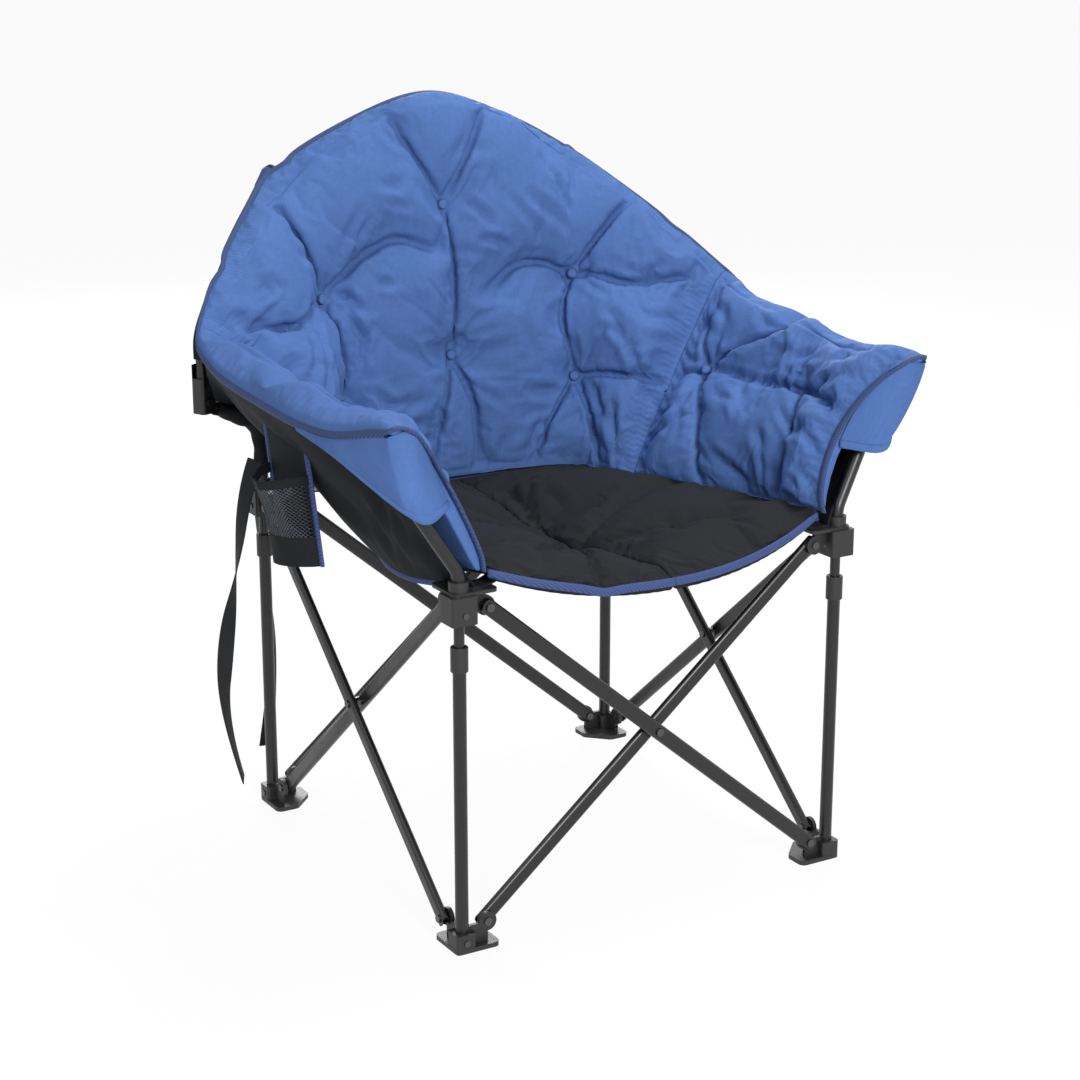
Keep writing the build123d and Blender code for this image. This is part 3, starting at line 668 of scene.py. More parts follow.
def press_folds(piece, folds):
    """Press folds into a cover: each is a groove with a soft ridge beside it, fading at its ends."""
    mesh = piece.data
    count = len(mesh.vertices)
    flat, place, normal = (np.zeros(count * 3, np.float32) for _ in range(3))
    mesh.attributes["flat"].data.foreach_get("vector", flat)
    mesh.vertices.foreach_get("co", place)
    mesh.vertex_normals.foreach_get("vector", normal)
    flat, place, normal = (a.reshape(-1, 3).astype(float) for a in (flat, place, normal))
    push = np.zeros(count)
    for line, depth, width in folds:
        reach = 4 * width
        box = np.all((flat > line.min(axis=0) - reach) & (flat < line.max(axis=0) + reach), axis=1)
        near = np.flatnonzero(box)
        if not len(near):
            continue
        gaps = np.linalg.norm(flat[near][:, None] - line[None], axis=2)
        closest = gaps.argmin(axis=1)
        gap = gaps[np.arange(len(near)), closest]
        fade = np.sin(pi * (closest + 0.5) / len(line)) ** 0.5
        ridge = 0.45 * np.exp(-((gap - 1.9 * width) / width) ** 2)
        push[near] += depth * fade * (ridge - np.exp(-(gap / width) ** 1.3))
    place += normal * np.clip(push, -0.012, 0.006)[:, None]
    mesh.vertices.foreach_set("co", place.astype(np.float32).ravel())
    mesh.attributes.remove(mesh.attributes["flat"])
    mesh.update()


def pad_thickness(places, shares, sizes, tufts, creases, ends):
    """Thickness of a pad over its wall: a crown, drawn in at its ends, its buttons and its folds."""
    skin = wall(places, shares)
    border = sizes.seam + (sizes.brow - sizes.seam) * shares
    crown = np.clip(hill(shares), 0, 1) ** 0.4
    thick = border + (sizes.pad - border) * crown
    for spot, left in ends:
        gap = nearest(skin, wall(np.full(40, float(spot)), np.linspace(0, 1, 40)))
        thick *= left + (1 - left) * smooth_step(gap / 0.045) ** 0.7
    for crease in creases:
        gap = nearest(skin, crease_points(crease))
        thick -= sizes.crease * np.exp(-(gap / sizes.fold_width) ** 1.2) * (thick / sizes.pad)
    for spot in tufts:
        gap = nearest(skin, wall(np.array([float(spot[0])]), np.array([spot[1]])))
        thick += (sizes.tuft - thick) * np.exp(-gap / 0.024)
    return thick


def pad_rings(first, last, grid, sizes, tufts, creases, ends):
    """Rings round a pad, one at each column, how firmly each point is sewn, and its place on the wall."""
    columns, rows = grid
    places = np.linspace(first, last, columns)
    shares = np.linspace(0, 1, rows)
    grid_places, grid_shares = np.meshgrid(places, shares, indexing="ij")
    thick = pad_thickness(grid_places, grid_shares, sizes, tufts, creases, ends)
    front = wall(grid_places, grid_shares, thick)
    _, _, edge, out, _ = wall_frame(places)
    rim = rim_line(places)
    brow = front[:, -1]
    centre, arm = (brow + rim) / 2, (brow - rim) / 2
    size = np.linalg.norm(arm, axis=1, keepdims=True)
    bulge = UP * 0.8 + out * 0.35
    turn = np.linspace(0, pi, 9)[1:, None, None]
    round_off = 0.35 + 0.45 * smooth_step((np.abs(places)[:, None] - 3.4) / 1.4)
    crest = np.moveaxis(centre + arm * np.cos(turn) + bulge * size * round_off * np.sin(turn), 0, 1)
    under = rim[:, None] + (edge - rim)[:, None] * np.array([0.5, 1.0])[:, None]
    back = wall(grid_places[:, ::-6], grid_shares[:, ::-6])[:, 1:]
    rings = np.concatenate([front, crest, under, back], axis=1)
    hold = np.ones(rings.shape[:2])
    hold[2:-2, 1:rows + 5] = 0
    flat = wall(grid_places, grid_shares)
    marks = np.full(rings.shape, -9.0)
    marks[:, :rows] = flat
    face_hold = hold[:, :rows]
    for crease in creases:
        near = nearest(flat, crease_points(crease)) < 0.004
        face_hold[near] = np.maximum(face_hold[near], CREASE_HOLD)
    for spot in tufts:
        face_hold[nearest(flat, crease_points([spot, spot])) < 0.009] = 1
    return rings, hold, marks


def add_cushion(name, shape, material, sizes, limit, folds):
    """Add a padded cover: puffed out by its filling up to a limit, with folds pressed in."""
    rings, hold, marks = shape
    piece = add_skin(name, rings, material, marks)
    puff(piece, hold.ravel(), sizes, limit)
    subdivide(piece)
    press_folds(piece, folds)
    return piece


class CHAIR_OT_stage(bpy.types.Operator):
    """Floor, backdrop, lamps and camera"""
    bl_idname = "chair.stage"
    bl_label = "Stage"

    def execute(self, context):
        scene = context.scene
        bpy.ops.object.select_all(action="DESELECT")
        bpy.ops.mesh.primitive_plane_add(size=90, location=(0, 0, 0))
        floor = context.active_object
        floor.name = "floor"
        bpy.ops.object.mode_set(mode="EDIT")
        bpy.ops.mesh.subdivide(number_cuts=1)
        bpy.ops.object.mode_set(mode="OBJECT")
        paper = make_material("Paper backdrop", self.paper, scene.chair_colours.floor)
        floor.data.materials.append(paper)
        self.light_world(scene)
        for name, place, size, power in LAMPS:
            self.add_lamp(scene, name, place, size, power)
        self.add_camera(scene)
        scene.view_settings.view_transform = "Standard"
        return {"FINISHED"}

    def seen(self, tree):
        """One where the background itself is looked at, and nought where it only lights the chair."""
        rays = node(tree, "ShaderNodeLightPath").outputs
        either = node(tree, "ShaderNodeMath", {0: rays["Is Camera Ray"], 1: rays["Is Glossy Ray"]},
                      operation="MAXIMUM")
        return node(tree, "ShaderNodeMath", {0: either.outputs[0], 1: rays["Is Transmission Ray"]},
                    operation="MAXIMUM").outputs[0]

    def paper(self, tree, colour):
        """White paper: matt, bright where it is looked at, and it still takes the chair's shadow."""
        matt = node(tree, "ShaderNodeBsdfPrincipled", {"Base Color": colour, "Roughness": 0.9})
        share = node(tree, "ShaderNodeMath", {0: self.seen(tree), 1: FLOOR_GLOW}, operation="MULTIPLY")
        glow = node(tree, "ShaderNodeEmission", {"Color": WHITE, "Strength": 1.0})
        return node(tree, "ShaderNodeMixShader", {0: share.outputs[0], 1: matt.outputs[0],
                                                  2: glow.outputs[0]})

    def light_world(self, scene):
        world = bpy.data.worlds.new("Studio")
        scene.world = world
        world.use_nodes = True
        tree = world.node_tree
        tree.nodes.clear()
        soft = node(tree, "ShaderNodeBackground", {"Color": WHITE, "Strength": AMBIENT})
        white = node(tree, "ShaderNodeBackground", {"Color": WHITE, "Strength": 1.0})
        mix = node(tree, "ShaderNodeMixShader", {0: self.seen(tree), 1: soft.outputs[0],
                                                 2: white.outputs[0]})
        node(tree, "ShaderNodeOutputWorld", {"Surface": mix.outputs[0]})

    def add_lamp(self, scene, name, place, size, power):
        lamp = bpy.data.lights.new(name, "AREA")
        lamp.shape = "DISK"
        lamp.size = size
        lamp.energy = power
        holder = bpy.data.objects.new(name, lamp)
        holder.location = place
        aim = Vector((0, 0, 0.5)) - Vector(place)
        holder.rotation_euler = aim.to_track_quat("-Z", "Y").to_euler()
        scene.collection.objects.link(holder)

    def add_camera(self, scene):
        lens = bpy.data.cameras.new("camera")
        lens.sensor_width = 36
        lens.lens = 80
        camera = bpy.data.objects.new("camera", lens)
        camera.location = (-1.524, -2.565 + FRAME_BACK, 1.282)
        camera.rotation_euler = (radians(90 - 16.44), 0, radians(-30.69))
        scene.collection.objects.link(camera)
        scene.camera = camera


class CHAIR_OT_frame_finish(bpy.types.Operator):
    """Paint, nylon and plating of the frame's own pieces"""
    bl_idname = "chair.frame_finish"
    bl_label = "Frame finish"

    def execute(self, context):
        scene = context.scene
        colours = scene.chair_colours
        finishes = {
            "black_coated_steel": make_material("Powder-coated steel", powder_coat, colours.coat),
            "black_nylon": make_material("Moulded nylon", moulded_nylon, colours.nylon),
            "steel_rivets": make_material("Plated steel", plated_steel, colours.steel),
            "blue_polyester": blue_cloth(scene),
            "black_polyester": black_cloth(scene),
            "black_mesh": black_cloth(scene),
        }
        for part in frame["record"]["subparts"]:
            solid = frame["nodes"][part["node"]]
            solid.data.materials.clear()
            solid.data.materials.append(finishes[part["material_slot"]])
        return {"FINISHED"}


class CHAIR_OT_straps(bpy.types.Operator):
    """The two hanging webbing straps at the rear right corner"""
    bl_idname = "chair.straps"
    bl_label = "Straps"

    def execute(self, context):
        scene = context.scene
        sizes = scene.chair_sizes
        leg = Vector((-LEG_HALF, LEG_HALF + FRAME_BACK, 0))
        for name, route in STRAPS.items():
            line = bpy.data.curves.new(f"{name}_webbing", "CURVE")
            line.dimensions = "3D"
            spline = line.splines.new("NURBS")
            spline.points.add(len(route) - 1)
            for point, (x, y, z, turn) in zip(spline.points, route):
                point.co = (*(leg + Vector((x, y, z))), 1)
                point.tilt = turn
            spline.order_u = 3
            spline.use_endpoint_u = True
            spline.resolution_u = 16
            line.extrude = (sizes.webbing - sizes.webbing_thickness) / 2
            line.bevel_depth = sizes.webbing_thickness / 2
            line.bevel_resolution = 2
            line.materials.append(black_webbing(scene))
            strap = bpy.data.objects.new(f"{name}_webbing", line)
            scene.collection.objects.link(strap)
            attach(strap, "rear_right_top")
            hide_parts(name)
        return {"FINISHED"}


class CHAIR_OT_back_pad(bpy.types.Operator):
    """The padded, buttoned back"""
    bl_idname = "chair.back_pad"
    bl_label = "Back pad"

    def execute(self, context):
        scene = context.scene
        sizes = scene.chair_sizes
        shape = pad_rings(-BACK_END, BACK_END, BACK_GRID, sizes, BACK_TUFTS, BACK_CREASES,
                          ((-BACK_END, 0.3), (BACK_END, 0.3)))
        folds = sewn_folds(BACK_CREASES, sizes)
        folds += small_folds(4, 110, -BACK_END + 0.3, BACK_END - 0.3, BACK_TUFTS)
        pad = add_cushion("back_cushion", shape, blue_cloth(scene), sizes, BACK_PUFF,
                          folds)
        edge, across = self.bound_edge(np.linspace(-BACK_END, BACK_END, 160))
        sew_binding(pad, edge, across, sizes, navy_tape(scene))
        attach(pad, "rear_right_top")
        fold_with_back(pad)
        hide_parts("back_pad")
        return {"FINISHED"}

    def bound_edge(self, places):
        """Line of the binding along the rim, and the way it is wide: up and out, upright at its ends."""
        lean = wall_frame(places)[3] * (1 - smooth_step((np.abs(places)[:, None] - 2.6) / 1.3))
        across = unit(lean + UP)
        return rim_line(places) + across * 0.002 * np.linalg.norm(lean, axis=1, keepdims=True), across


class CHAIR_OT_arm_pads(bpy.types.Operator):
    """The padded arms"""
    bl_idname = "chair.arm_pads"
    bl_label = "Arm pads"

    def execute(self, context):
        scene = context.scene
        sizes = scene.chair_sizes
        for side, sign in SIDES:
            tufts = [(sign * s, t) for s, t in ARM_TUFTS]
            creases = [[(sign * s, t) for s, t in crease] for crease in ARM_CREASES]
            shape = pad_rings(sign * BACK_END, sign * ARM_END, ARM_GRID, sizes, tufts, creases,
                              ((sign * BACK_END, 0.3), (sign * ARM_END, 0.45)))
            ends = sorted((sign * (BACK_END + 0.3), sign * (ARM_END - 0.4)))
            folds = sewn_folds(creases, sizes) + small_folds(7 + sign, 46, *ends, tufts)
            pad = add_cushion(f"{side}_arm_cushion", shape, blue_cloth(scene), sizes,
                              ARM_PUFF, folds)
            edge, across = self.bound_edge(sign, shape[0][-1])
            sew_binding(pad, edge, across, sizes, navy_tape(scene))
            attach(pad, f"rear_{side}_top")
            fold_with_arm(pad)
            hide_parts(f"{side}_arm_pad")
        return {"FINISHED"}

    def bound_edge(self, sign, outline):
        """Line of the binding along the rim, round the tip and down the front, and the way it is wide.

        It starts down the front's outline from a point on the rolled rim, a little past the face.
        """
        rim = rim_line(np.linspace(sign * BACK_END, sign * ARM_END, 110))
        front = outline[ARM_GRID[1] + 6::-1] + np.array([0, -0.004, 0])
        line = np.concatenate([rim, front])
        across = np.concatenate([np.tile(UP, (len(rim), 1)), np.tile([0, -1.0, 0], (len(front), 1))])
        for _ in range(6):
            line[1:-1] = (line[:-2] + 2 * line[1:-1] + line[2:]) / 4
            across[1:-1] = (across[:-2] + 2 * across[1:-1] + across[2:]) / 4
        return line, unit(across)


class CHAIR_OT_seat(bpy.types.Operator):
    """The padded black seat, in two halves along its centre crease"""
    bl_idname = "chair.seat"
    bl_label = "Seat"

    def execute(self, context):
        scene = context.scene
        sizes = scene.chair_sizes
        for side, sign in SIDES:
            rings, hold, front = self.rings(sign)
            marks = rings * np.array([1, 1, 0])
            marks[:, SEAT_TOP:] = -9.0
            pad = add_cushion(f"{side}_seat_cushion", (rings, hold, marks), black_cloth(scene),
                              sizes, SEAT_PUFF, self.folds(sign))
            sew_binding(pad, front, UP, sizes, blue_tape(scene))
            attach(pad, f"{side}_seat_half")
            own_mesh(pad)
            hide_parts(f"{side}_seat_pad")
        return {"FINISHED"}

    def folds(self, sign):
        """Short wrinkles that run out from the middle of the seat."""
        dice = np.random.default_rng(11 + sign)
        folds = []
        for _ in range(16):
            spot = np.array([sign * dice.uniform(0.02, 0.21), dice.uniform(-0.28, 0.15)])
            way = spot - np.array(SEAT_STAR)
            angle = np.arctan2(way[1], way[0]) + dice.normal(0, 0.5)
            run = np.linspace(-1, 1, 14)[:, None] * dice.uniform(0.012, 0.034)
            line = spot + np.array([np.cos(angle), np.sin(angle)]) * run + np.array([0, FRAME_BACK])
            line = np.concatenate([line, np.zeros((14, 1))], axis=1)
            folds.append((line, dice.uniform(0.0015, 0.004), dice.uniform(0.006, 0.010)))
        return folds

    def rings(self, sign):
        """Rings round half the seat from back to front, how firmly each point holds, and its front edge."""
        low, _, _, out, face = wall_frame(sign * np.array(SEAT_STATIONS, float))
        edge = low + face * 0.014 - out * 0.0006
        middle = np.stack([np.full(8, sign * 0.0004), np.array(SEAT_MIDDLE) * LEG_HALF + FRAME_BACK,
                           HUB_TOP + np.array(SEAT_MIDDLE_HEIGHT) / 1000], axis=1)
        swell = (np.array(SEAT_SWELL) / 1000)[:, None, None] * UP
        depth = (np.array(SEAT_DEPTH) / 1000)[:, None] * UP
        share = np.linspace(0, 1, SEAT_TOP)[None, :, None]
        top = middle[:, None] + (edge - middle)[:, None] * share + swell * hill(share)
        sparse = np.linspace(1, 0, SEAT_UNDER)[None, :, None]
        base = middle - depth
        rim = edge - UP * SEAT_EDGE_DEPTH
        under = base[:, None] + (rim - base)[:, None] * sparse - swell * 2 * sparse * (1 - sparse)
        skin = np.concatenate([top, under], axis=1)
        reach = abs(edge[-1, 0])
        radius = (reach ** 2 + SEAT_FRONT_BOW ** 2) / (2 * SEAT_FRONT_BOW)
        climb = np.concatenate([share[0] ** 2.2, sparse[0] ** 2.2])[:, 0]
        counts = (SEAT_TOP, SEAT_UNDER)
        low_line = np.repeat((middle[-1, 2], base[-1, 2]), counts)
        high_line = np.repeat((edge[-1, 2], rim[-1, 2]), counts)
        skin[-1, :, 2] = low_line + (high_line - low_line) * climb
        last = skin[-1].copy()
        across = np.clip(np.abs(last[:, 0]), 0, reach)
        last[:, 1] = edge[-1, 1] - SEAT_FRONT_BOW + radius - np.sqrt(radius ** 2 - across ** 2)
        last[:, 2] -= SEAT_FRONT_FALL
        rows = np.concatenate([np.linspace(0, 7, 84), np.linspace(7, 8, 14)[1:]])
        rings = through(np.concatenate([skin, last[None]]), rows)
        face_top = rings[:, :SEAT_TOP]
        flat = face_top * np.array([1, 1, 0])
        hold = np.ones(rings.shape[:2])
        hold[2:-2, 1:SEAT_TOP - 1] = 0
        inner = hold[:, :SEAT_TOP]
        for end in SEAT_CREASES:
            line = np.linspace(SEAT_STAR, end, 60) + np.array([0, FRAME_BACK])
            gap = nearest(flat, np.concatenate([line, np.zeros((60, 1))], axis=1))
            face_top[..., 2] -= 0.008 * np.exp(-(gap / 0.018) ** 1.2)
            inner[gap < 0.005] = np.maximum(inner[gap < 0.005], CREASE_HOLD)
        front = rings[-1, :SEAT_TOP] + np.array([0, -0.002, -0.003])
        return rings, hold, front


class CHAIR_OT_shell(bpy.types.Operator):
    """The black cloth behind the pads, in three sheets"""
    bl_idname = "chair.shell"
    bl_label = "Outer cloth"

    def execute(self, context):
        scene = context.scene
        sizes = scene.chair_sizes
        spans = (("right", -ARM_END, -BACK_END, "rear_right_top", 70, slice(6, None)),
                 ("back", -BACK_END, BACK_END, "rear_right_top", 120, slice(None)),
                 ("left", BACK_END, ARM_END, "rear_left_top", 70, slice(-6)))
        for name, first, last, body, columns, bound in spans:
            grid = self.grid(np.linspace(first, last, columns), 46)
            piece = add_sheet(f"{name}_outer_cloth", grid, sizes.cloth, black_cloth(scene))
            sew_binding(piece, grid[bound, 0], UP, sizes, blue_tape(scene))
            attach(piece, body)
            if name == "back":
                fold_with_back(piece)
                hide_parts("outer_shell")
            else:
                fold_with_arm(piece)
        return {"FINISHED"}

    def grid(self, places, rows):
        """Cloth from the seam under the seat up to the bound edge, with soft slack folds."""
        low, _, _, _, face = wall_frame(places)
        foot = low - face * 0.004 - np.array([0, 0, 0.010])
        s, t = places[:, None], np.linspace(0, 1, rows)[None]
        slack = 0.004 * np.sin(3.1 * s + 5 * t) + 0.003 * np.sin(5.3 * s - 7 * t + 1)
        ripple = np.sin(11 * s + 4 * np.sin(5 * t + s)) * (0.5 + 0.5 * np.sin(1.7 * s + 4 * t))
        slack = (slack + 0.0022 * ripple + 0.004) * np.sin(pi * t)
        flat = between(foot, rim_line(places), rows)
        return flat - face[:, None] * (slack + 0.002)[..., None] + hollow(s, t)


class CHAIR_OT_buttons(bpy.types.Operator):
    """Cloth-covered buttons in the tufts"""
    bl_idname = "chair.buttons"
    bl_label = "Buttons"

    def execute(self, context):
        scene = context.scene
        groups = (("back", BACK_TUFTS, "rear_right_top"),
                  ("right_arm", [(-s, t) for s, t in ARM_TUFTS], "rear_right_top"),
                  ("left_arm", ARM_TUFTS, "rear_left_top"))
        for name, tufts, body in groups:
            made = [self.button(spot, scene.chair_sizes.tuft) for spot in tufts]
            select(*made)
            if len(made) > 1:
                bpy.ops.object.join()
            bpy.ops.object.transform_apply(location=True, rotation=True, scale=True)
            piece = context.active_object
            piece.name = f"{name}_buttons"
            piece.data.materials.append(blue_cloth(scene))
            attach(piece, body)
            if name == "back":
                fold_with_back(piece)
                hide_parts("tuft_buttons")
            else:
                fold_with_arm(piece)
        return {"FINISHED"}

    def button(self, spot, lift):
        """A low dome with a rounded edge, set square on the pad."""
        place = np.array([float(spot[0])])
        face = wall_frame(place)[4][0]
        bpy.ops.object.select_all(action="DESELECT")
        bpy.ops.mesh.primitive_cylinder_add(vertices=32, radius=0.0068, depth=0.006)
        button = bpy.context.active_object
        bpy.ops.object.mode_set(mode="EDIT")
        bpy.ops.mesh.select_all(action="SELECT")
        bpy.ops.mesh.bevel(offset=0.0024, segments=4)
        bpy.ops.uv.cube_project(cube_size=1.0)
        bpy.ops.object.mode_set(mode="OBJECT")
        bpy.ops.object.shade_smooth()
        button.rotation_euler = Vector(face).to_track_quat("Z", "Y").to_euler()
        button.location = wall(place, np.array([spot[1]]), lift)[0]
        return button


class CHAIR_OT_pockets(bpy.types.Operator):
    """Blue cloth pockets that hold the arms on the tips of the front posts"""
    bl_idname = "chair.pockets"
    bl_label = "Arm pockets"

    def execute(self, context):
        scene = context.scene
        sizes = scene.chair_sizes
        for side, sign in SIDES:
            grid = mirrored(self.grid(sizes.brow), sign)
            piece = add_sheet(f"{side}_pocket", grid, sizes.cloth, blue_cloth(scene),
                              fan=True)
            sew_binding(piece, grid[:, -1], UP, sizes, blue_cloth(scene))
            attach(piece, f"rear_{side}_top")
            fold_with_arm(piece)
            if side == "right":
                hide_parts("arm_pockets")
        return {"FINISHED"}

    def grid(self, brow):
        """Cloth of the right pocket: under the arm's bound edge, down its front, slanting back below."""
        rim = rim_line(np.linspace(-6.9, -ARM_END, 40)) - np.array([0, 0, 0.003])
        lift = brow * np.linspace(1.0, 0.45, 24)
        front = wall(np.full(24, -float(ARM_END)), np.linspace(1.0, 0.42, 24), lift)
        front = front - np.array([0.002, 0.002, 0])
        upper = np.concatenate([rim, front])
        foot = np.concatenate([rim[:1], about_legs(POCKET_FOOT), front[-1:] - np.array([0, 0, 0.002])])
        lower = through(foot, np.linspace(0, len(foot) - 1, len(upper)))
        across, down = np.linspace(0, pi, len(upper))[:, None, None], np.linspace(0, pi, 30)[None, :, None]
        swell = (np.sin(down) * np.sin(across)) ** 0.6
        return between(upper, lower, 30) + np.array([-0.004, -0.004, 0]) * swell


class CHAIR_OT_cup_holder(bpy.types.Operator):
    """The mesh cup holder on the sitter's right, on a panel with bound edges"""
    bl_idname = "chair.cup_holder"
    bl_label = "Cup holder"

    def execute(self, context):
        scene = context.scene
        around = np.linspace(0, 1, 48)[:, None]
        panel = self.panel(np.linspace(0, 1, 24)[:, None], np.linspace(0, 1, 40)[None])
        piece = self.hang_sheet("cup_holder_panel", panel, scene, blue_tape(scene))
        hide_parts("cup_holder")
        self.hang_sheet("cup_holder_base", self.pouch(around, np.linspace(0, 0.32, 12)[None]), scene)
        floor = between(self.panel(around, 0.01)[:, 0], self.pouch(around, 0.02)[:, 0], 10)
        self.hang_sheet("cup_holder_floor", floor, scene)
        self.hang_sheet("cup_holder_mouth", self.pouch(around, np.linspace(0.9, 1, 8)[None]), scene)
        self.hang_net(scene)
        return {"FINISHED"}

    def panel(self, across, up):
        """Points of the panel: from its back edge to its front edge, and from its foot to the arm's rim."""
        across, up = np.broadcast_arrays(across, up)
        top, foot = (np.array(end) + across[..., None] * np.array(run) for end, run in (CUP_TOP, CUP_FOOT))
        grid = foot + (top - foot) * up[..., None] + np.array([0, FRAME_BACK, 0])
        return grid + np.array([0.004, 0, 0]) * (np.sin(pi * across) * np.sin(2 * pi * up))[..., None]

    def pouch(self, around, up):
        """Points of the pouch: round its front from one edge of the panel to the other, foot to mouth."""
        around, up = np.broadcast_arrays(around, up)
        dip = 0.010 * np.sin(pi * around) * smooth_step((up - 0.6) / 0.4)
        rise = up * (0.116 + 0.010 * around) - dip
        base = self.panel(around, rise / 0.185)
        bulge = np.sin(pi * around) ** 0.6 * (0.030 + 0.012 * up)
        ripple = 0.0012 * np.sin(26 * around) * up
        return base - np.array([1.0, 0, 0]) * (bulge + ripple + 0.001)[..., None]

    def hang_sheet(self, name, grid, scene, tape=None):
        """Hang a sheet of cloth, with tape sewn over its back and front edges where one is given."""
        sizes = scene.chair_sizes
        piece = add_sheet(name, grid, sizes.cloth, black_cloth(scene))
        if tape:
            for edge in (grid[0], grid[-1]):
                sew_binding(piece, edge, np.array([0, 1.0, 0]), sizes, tape)
        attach(piece, "rear_right_top")
        fold_with_arm(piece)
        return piece

    def hang_net(self, scene):
        """A knitted net: cords crossing in diamonds between the base band and the mouth."""
        columns, rows = 48, 30
        around, up = np.linspace(0, 1, columns + 1), np.linspace(0.31, 0.95, rows + 1)
        points = self.pouch(around[:, None], up[None])
        even = (np.add.outer(np.arange(columns + 1), np.arange(rows + 1)) % 2) == 0
        number = np.full(even.shape, -1)
        number[even] = np.arange(even.sum())
        edges = []
        for i in range(columns):
            for j in range(rows + 1):
                for k in (j - 1, j + 1):
                    if even[i, j] and 0 <= k <= rows:
                        edges.append((int(number[i, j]), int(number[i + 1, k])))
        mesh = bpy.data.meshes.new("cup_holder_net")
        mesh.from_pydata(points[even].tolist(), edges, [])
        net = bpy.data.objects.new("cup_holder_net", mesh)
        scene.collection.objects.link(net)
        select(net)
        bpy.ops.object.convert(target="CURVE")
        net.data.bevel_depth = scene.chair_sizes.hole * 0.12
        net.data.bevel_resolution = 1
        net.data.use_fill_caps = True
        bpy.ops.object.convert(target="MESH")
        net.data.materials.append(net_cord_painted_highlight(scene))
        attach(net, "rear_right_top")
        fold_with_arm(net)


class CHAIR_OT_webbing(bpy.types.Operator):
    """Webbing tabs that tie the seat and the foot of the back to the hubs"""
    bl_idname = "chair.webbing"
    bl_label = "Webbing tabs"

    def execute(self, context):
        for row, back, end in TAB_ENDS:
            for side, sign in SIDES:
                self.add_tab(context.scene, f"{row}_{side}", sign, back, mirrored(np.array(end), sign))
        return {"FINISHED"}

    def add_tab(self, scene, corner, sign, back, end):
        """A tab from the flange of a corner's hub to the cloth."""
        sizes = scene.chair_sizes
        inset = LEG_HALF - TAB_INSET
        start = np.array([sign * inset, back * inset + FRAME_BACK, HUB_TOP + TAB_RISE])
        share = np.linspace(0, 1, 24)[:, None]
        line = start + (end - start) * share - UP * TAB_SAG * np.sin(pi * share)
        run = line[-1] - line[0]
        side = unit(np.cross(run, UP))
        grid = line[:, None] + side * np.linspace(-TAB_HALF, TAB_HALF, 8)[None, :, None]
        piece = add_sheet(f"{corner}_tab", grid, sizes.webbing_thickness, black_webbing(scene))
        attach(piece, f"{corner}_top")
        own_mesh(piece)
        if corner == "front_right":
            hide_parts("seat_tabs")


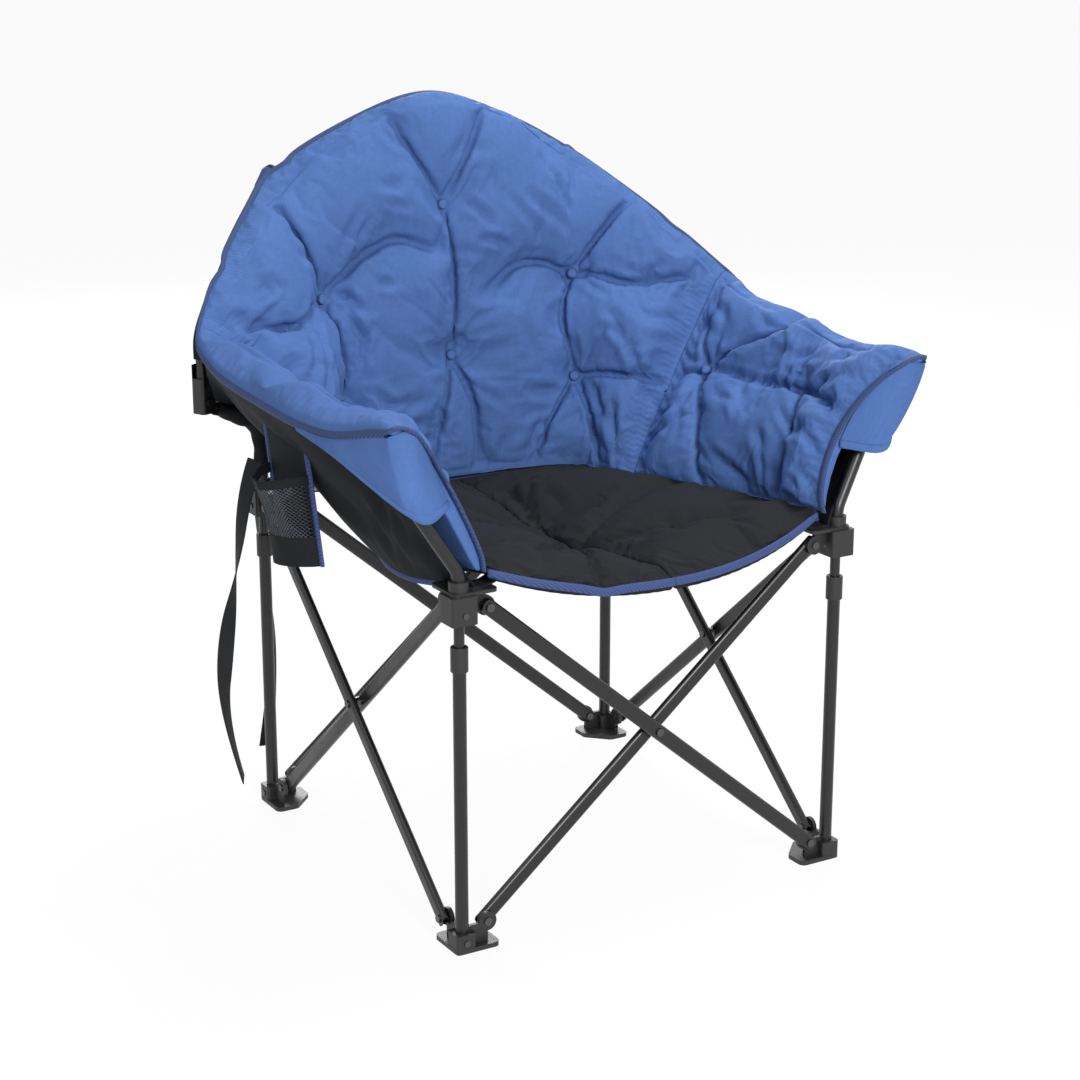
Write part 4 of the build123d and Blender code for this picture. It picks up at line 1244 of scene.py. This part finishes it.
class CHAIR_OT_sleeves(bpy.types.Operator):
    """Cloth sleeves on the rear supports and the back uprights, and the gussets behind the arms"""
    bl_idname = "chair.sleeves"
    bl_label = "Sleeves"

    def execute(self, context):
        scene = context.scene
        for side, sign in SIDES:
            support = mirrored(self.line(SUPPORT_LINE, SUPPORT_BEND), sign)
            self.sleeve(scene, f"{side}_support_sleeve", support, f"rear_{side}_top",
                        f"{side}_rear_support")
            upright = mirrored(self.line(UPRIGHT_LINE, UPRIGHT_BEND), sign)
            self.sleeve(scene, f"{side}_upright_sleeve", upright, f"{side}_back_upright",
                        f"{side}_back_upright", navy_tape(scene))
            grid = mirrored(self.gusset(40, 24), sign)
            piece = add_sheet(f"{side}_gusset", grid, scene.chair_sizes.cloth, black_cloth(scene))
            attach(piece, f"rear_{side}_top")
            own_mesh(piece)
        return {"FINISHED"}

    def gusset(self, columns, rows):
        """Cloth between the right arm and its rear support, bulging a little outwards."""
        upper, lower = (through(about_legs(line), np.linspace(0, len(line) - 1, columns))
                        for line in (GUSSET_TOP, GUSSET_FOOT))
        across, down = np.linspace(0, pi, columns)[:, None, None], np.linspace(0, pi, rows)[None, :, None]
        swell = np.sin(down) * np.sin(across) ** 0.5
        return between(upper, lower, rows) + np.array([-0.004, 0.003, 0]) * swell

    def line(self, corners, bend):
        """Middle line of a bent tube, from its corners in millimetres about the legs' middle."""
        points = about_legs(corners)
        path = [points[:1]]
        share = np.linspace(0, 1, 16)[:, None]
        for before, corner, after in zip(points, points[1:], points[2:]):
            back, on = unit(before - corner), unit(after - corner)
            reach = bend / np.tan(np.arccos(back @ on) / 2)
            first, last = corner + back * reach, corner + on * reach
            path.append(first * (1 - share) ** 2 + corner * 2 * share * (1 - share) + last * share ** 2)
        path = np.concatenate(path + [points[-1:]])
        run = distances(path)
        even = np.linspace(0, run[-1], 90)
        return np.stack([np.interp(even, run, path[:, k]) for k in range(3)], axis=1)

    def sleeve(self, scene, name, line, body, tube, cap=None):
        """A double-walled tube of cloth with small ruckles along it, and a sewn cap where one is given."""
        along = unit(np.gradient(line, axis=0))
        one = unit(np.cross(along, [0.3, 1.0, 0.2]))
        two = np.cross(along, one)
        turn = np.linspace(0, 2 * pi, 33)[:-1, None, None]
        place = np.arange(len(line))[None, :, None]
        ruckle = 0.0005 * np.sin(0.35 * place + 2 * np.sin(turn))
        ruckle = ruckle + 0.0006 * np.sin(0.17 * place - 3 * np.cos(turn))
        radial = one * np.cos(turn) + two * np.sin(turn)
        outside = line + radial * (SLEEVE_OUTSIDE + ruckle)
        inside = line + radial * SLEEVE_INSIDE
        rings = np.concatenate([outside, inside[:, ::-1]], axis=1)
        piece = add_skin(name, rings, black_cloth(scene), hoop=True)
        if cap:
            reach = np.linspace(-0.030, 0.004, 16)[:, None, None]
            size = CAP_RADIUS * np.sqrt(1 - np.clip((reach + 0.006) / 0.0105, 0, 1) ** 2)
            sew_on(piece, line[-1] + along[-1] * reach + np.moveaxis(radial[:, -1:], 0, 1) * size, cap)
        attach(piece, body)


class CHAIR_PT_panel(bpy.types.Panel):
    """Sizes, colours and building steps of the chair"""
    bl_idname = "CHAIR_PT_panel"
    bl_label = "Folding camping chair"
    bl_space_type = "VIEW_3D"
    bl_region_type = "UI"
    bl_category = "Chair"

    def draw(self, context):
        for group in (context.scene.chair_sizes, context.scene.chair_colours):
            box = self.layout.box()
            for key in group.bl_rna.properties.keys():
                if key not in ("rna_type", "name"):
                    box.prop(group, key)
        for step in steps:
            self.layout.operator(step.bl_idname)


steps = (CHAIR_OT_stage, CHAIR_OT_frame_finish, CHAIR_OT_straps, CHAIR_OT_back_pad, CHAIR_OT_arm_pads,
         CHAIR_OT_seat, CHAIR_OT_shell, CHAIR_OT_buttons, CHAIR_OT_pockets, CHAIR_OT_cup_holder,
         CHAIR_OT_webbing, CHAIR_OT_sleeves)
classes = (ChairSizes, ChairColours) + steps + (CHAIR_PT_panel,)


def register():
    for item in classes:
        bpy.utils.register_class(item)
    bpy.types.Scene.chair_sizes = PointerProperty(type=ChairSizes)
    bpy.types.Scene.chair_colours = PointerProperty(type=ChairColours)


def unregister():
    del bpy.types.Scene.chair_colours
    del bpy.types.Scene.chair_sizes
    for item in reversed(classes):
        bpy.utils.unregister_class(item)


def main():
    register()
    for step in steps:
        family, name = step.bl_idname.split(".")
        getattr(getattr(bpy.ops, family), name)()


if __name__ == "__main__":
    main()
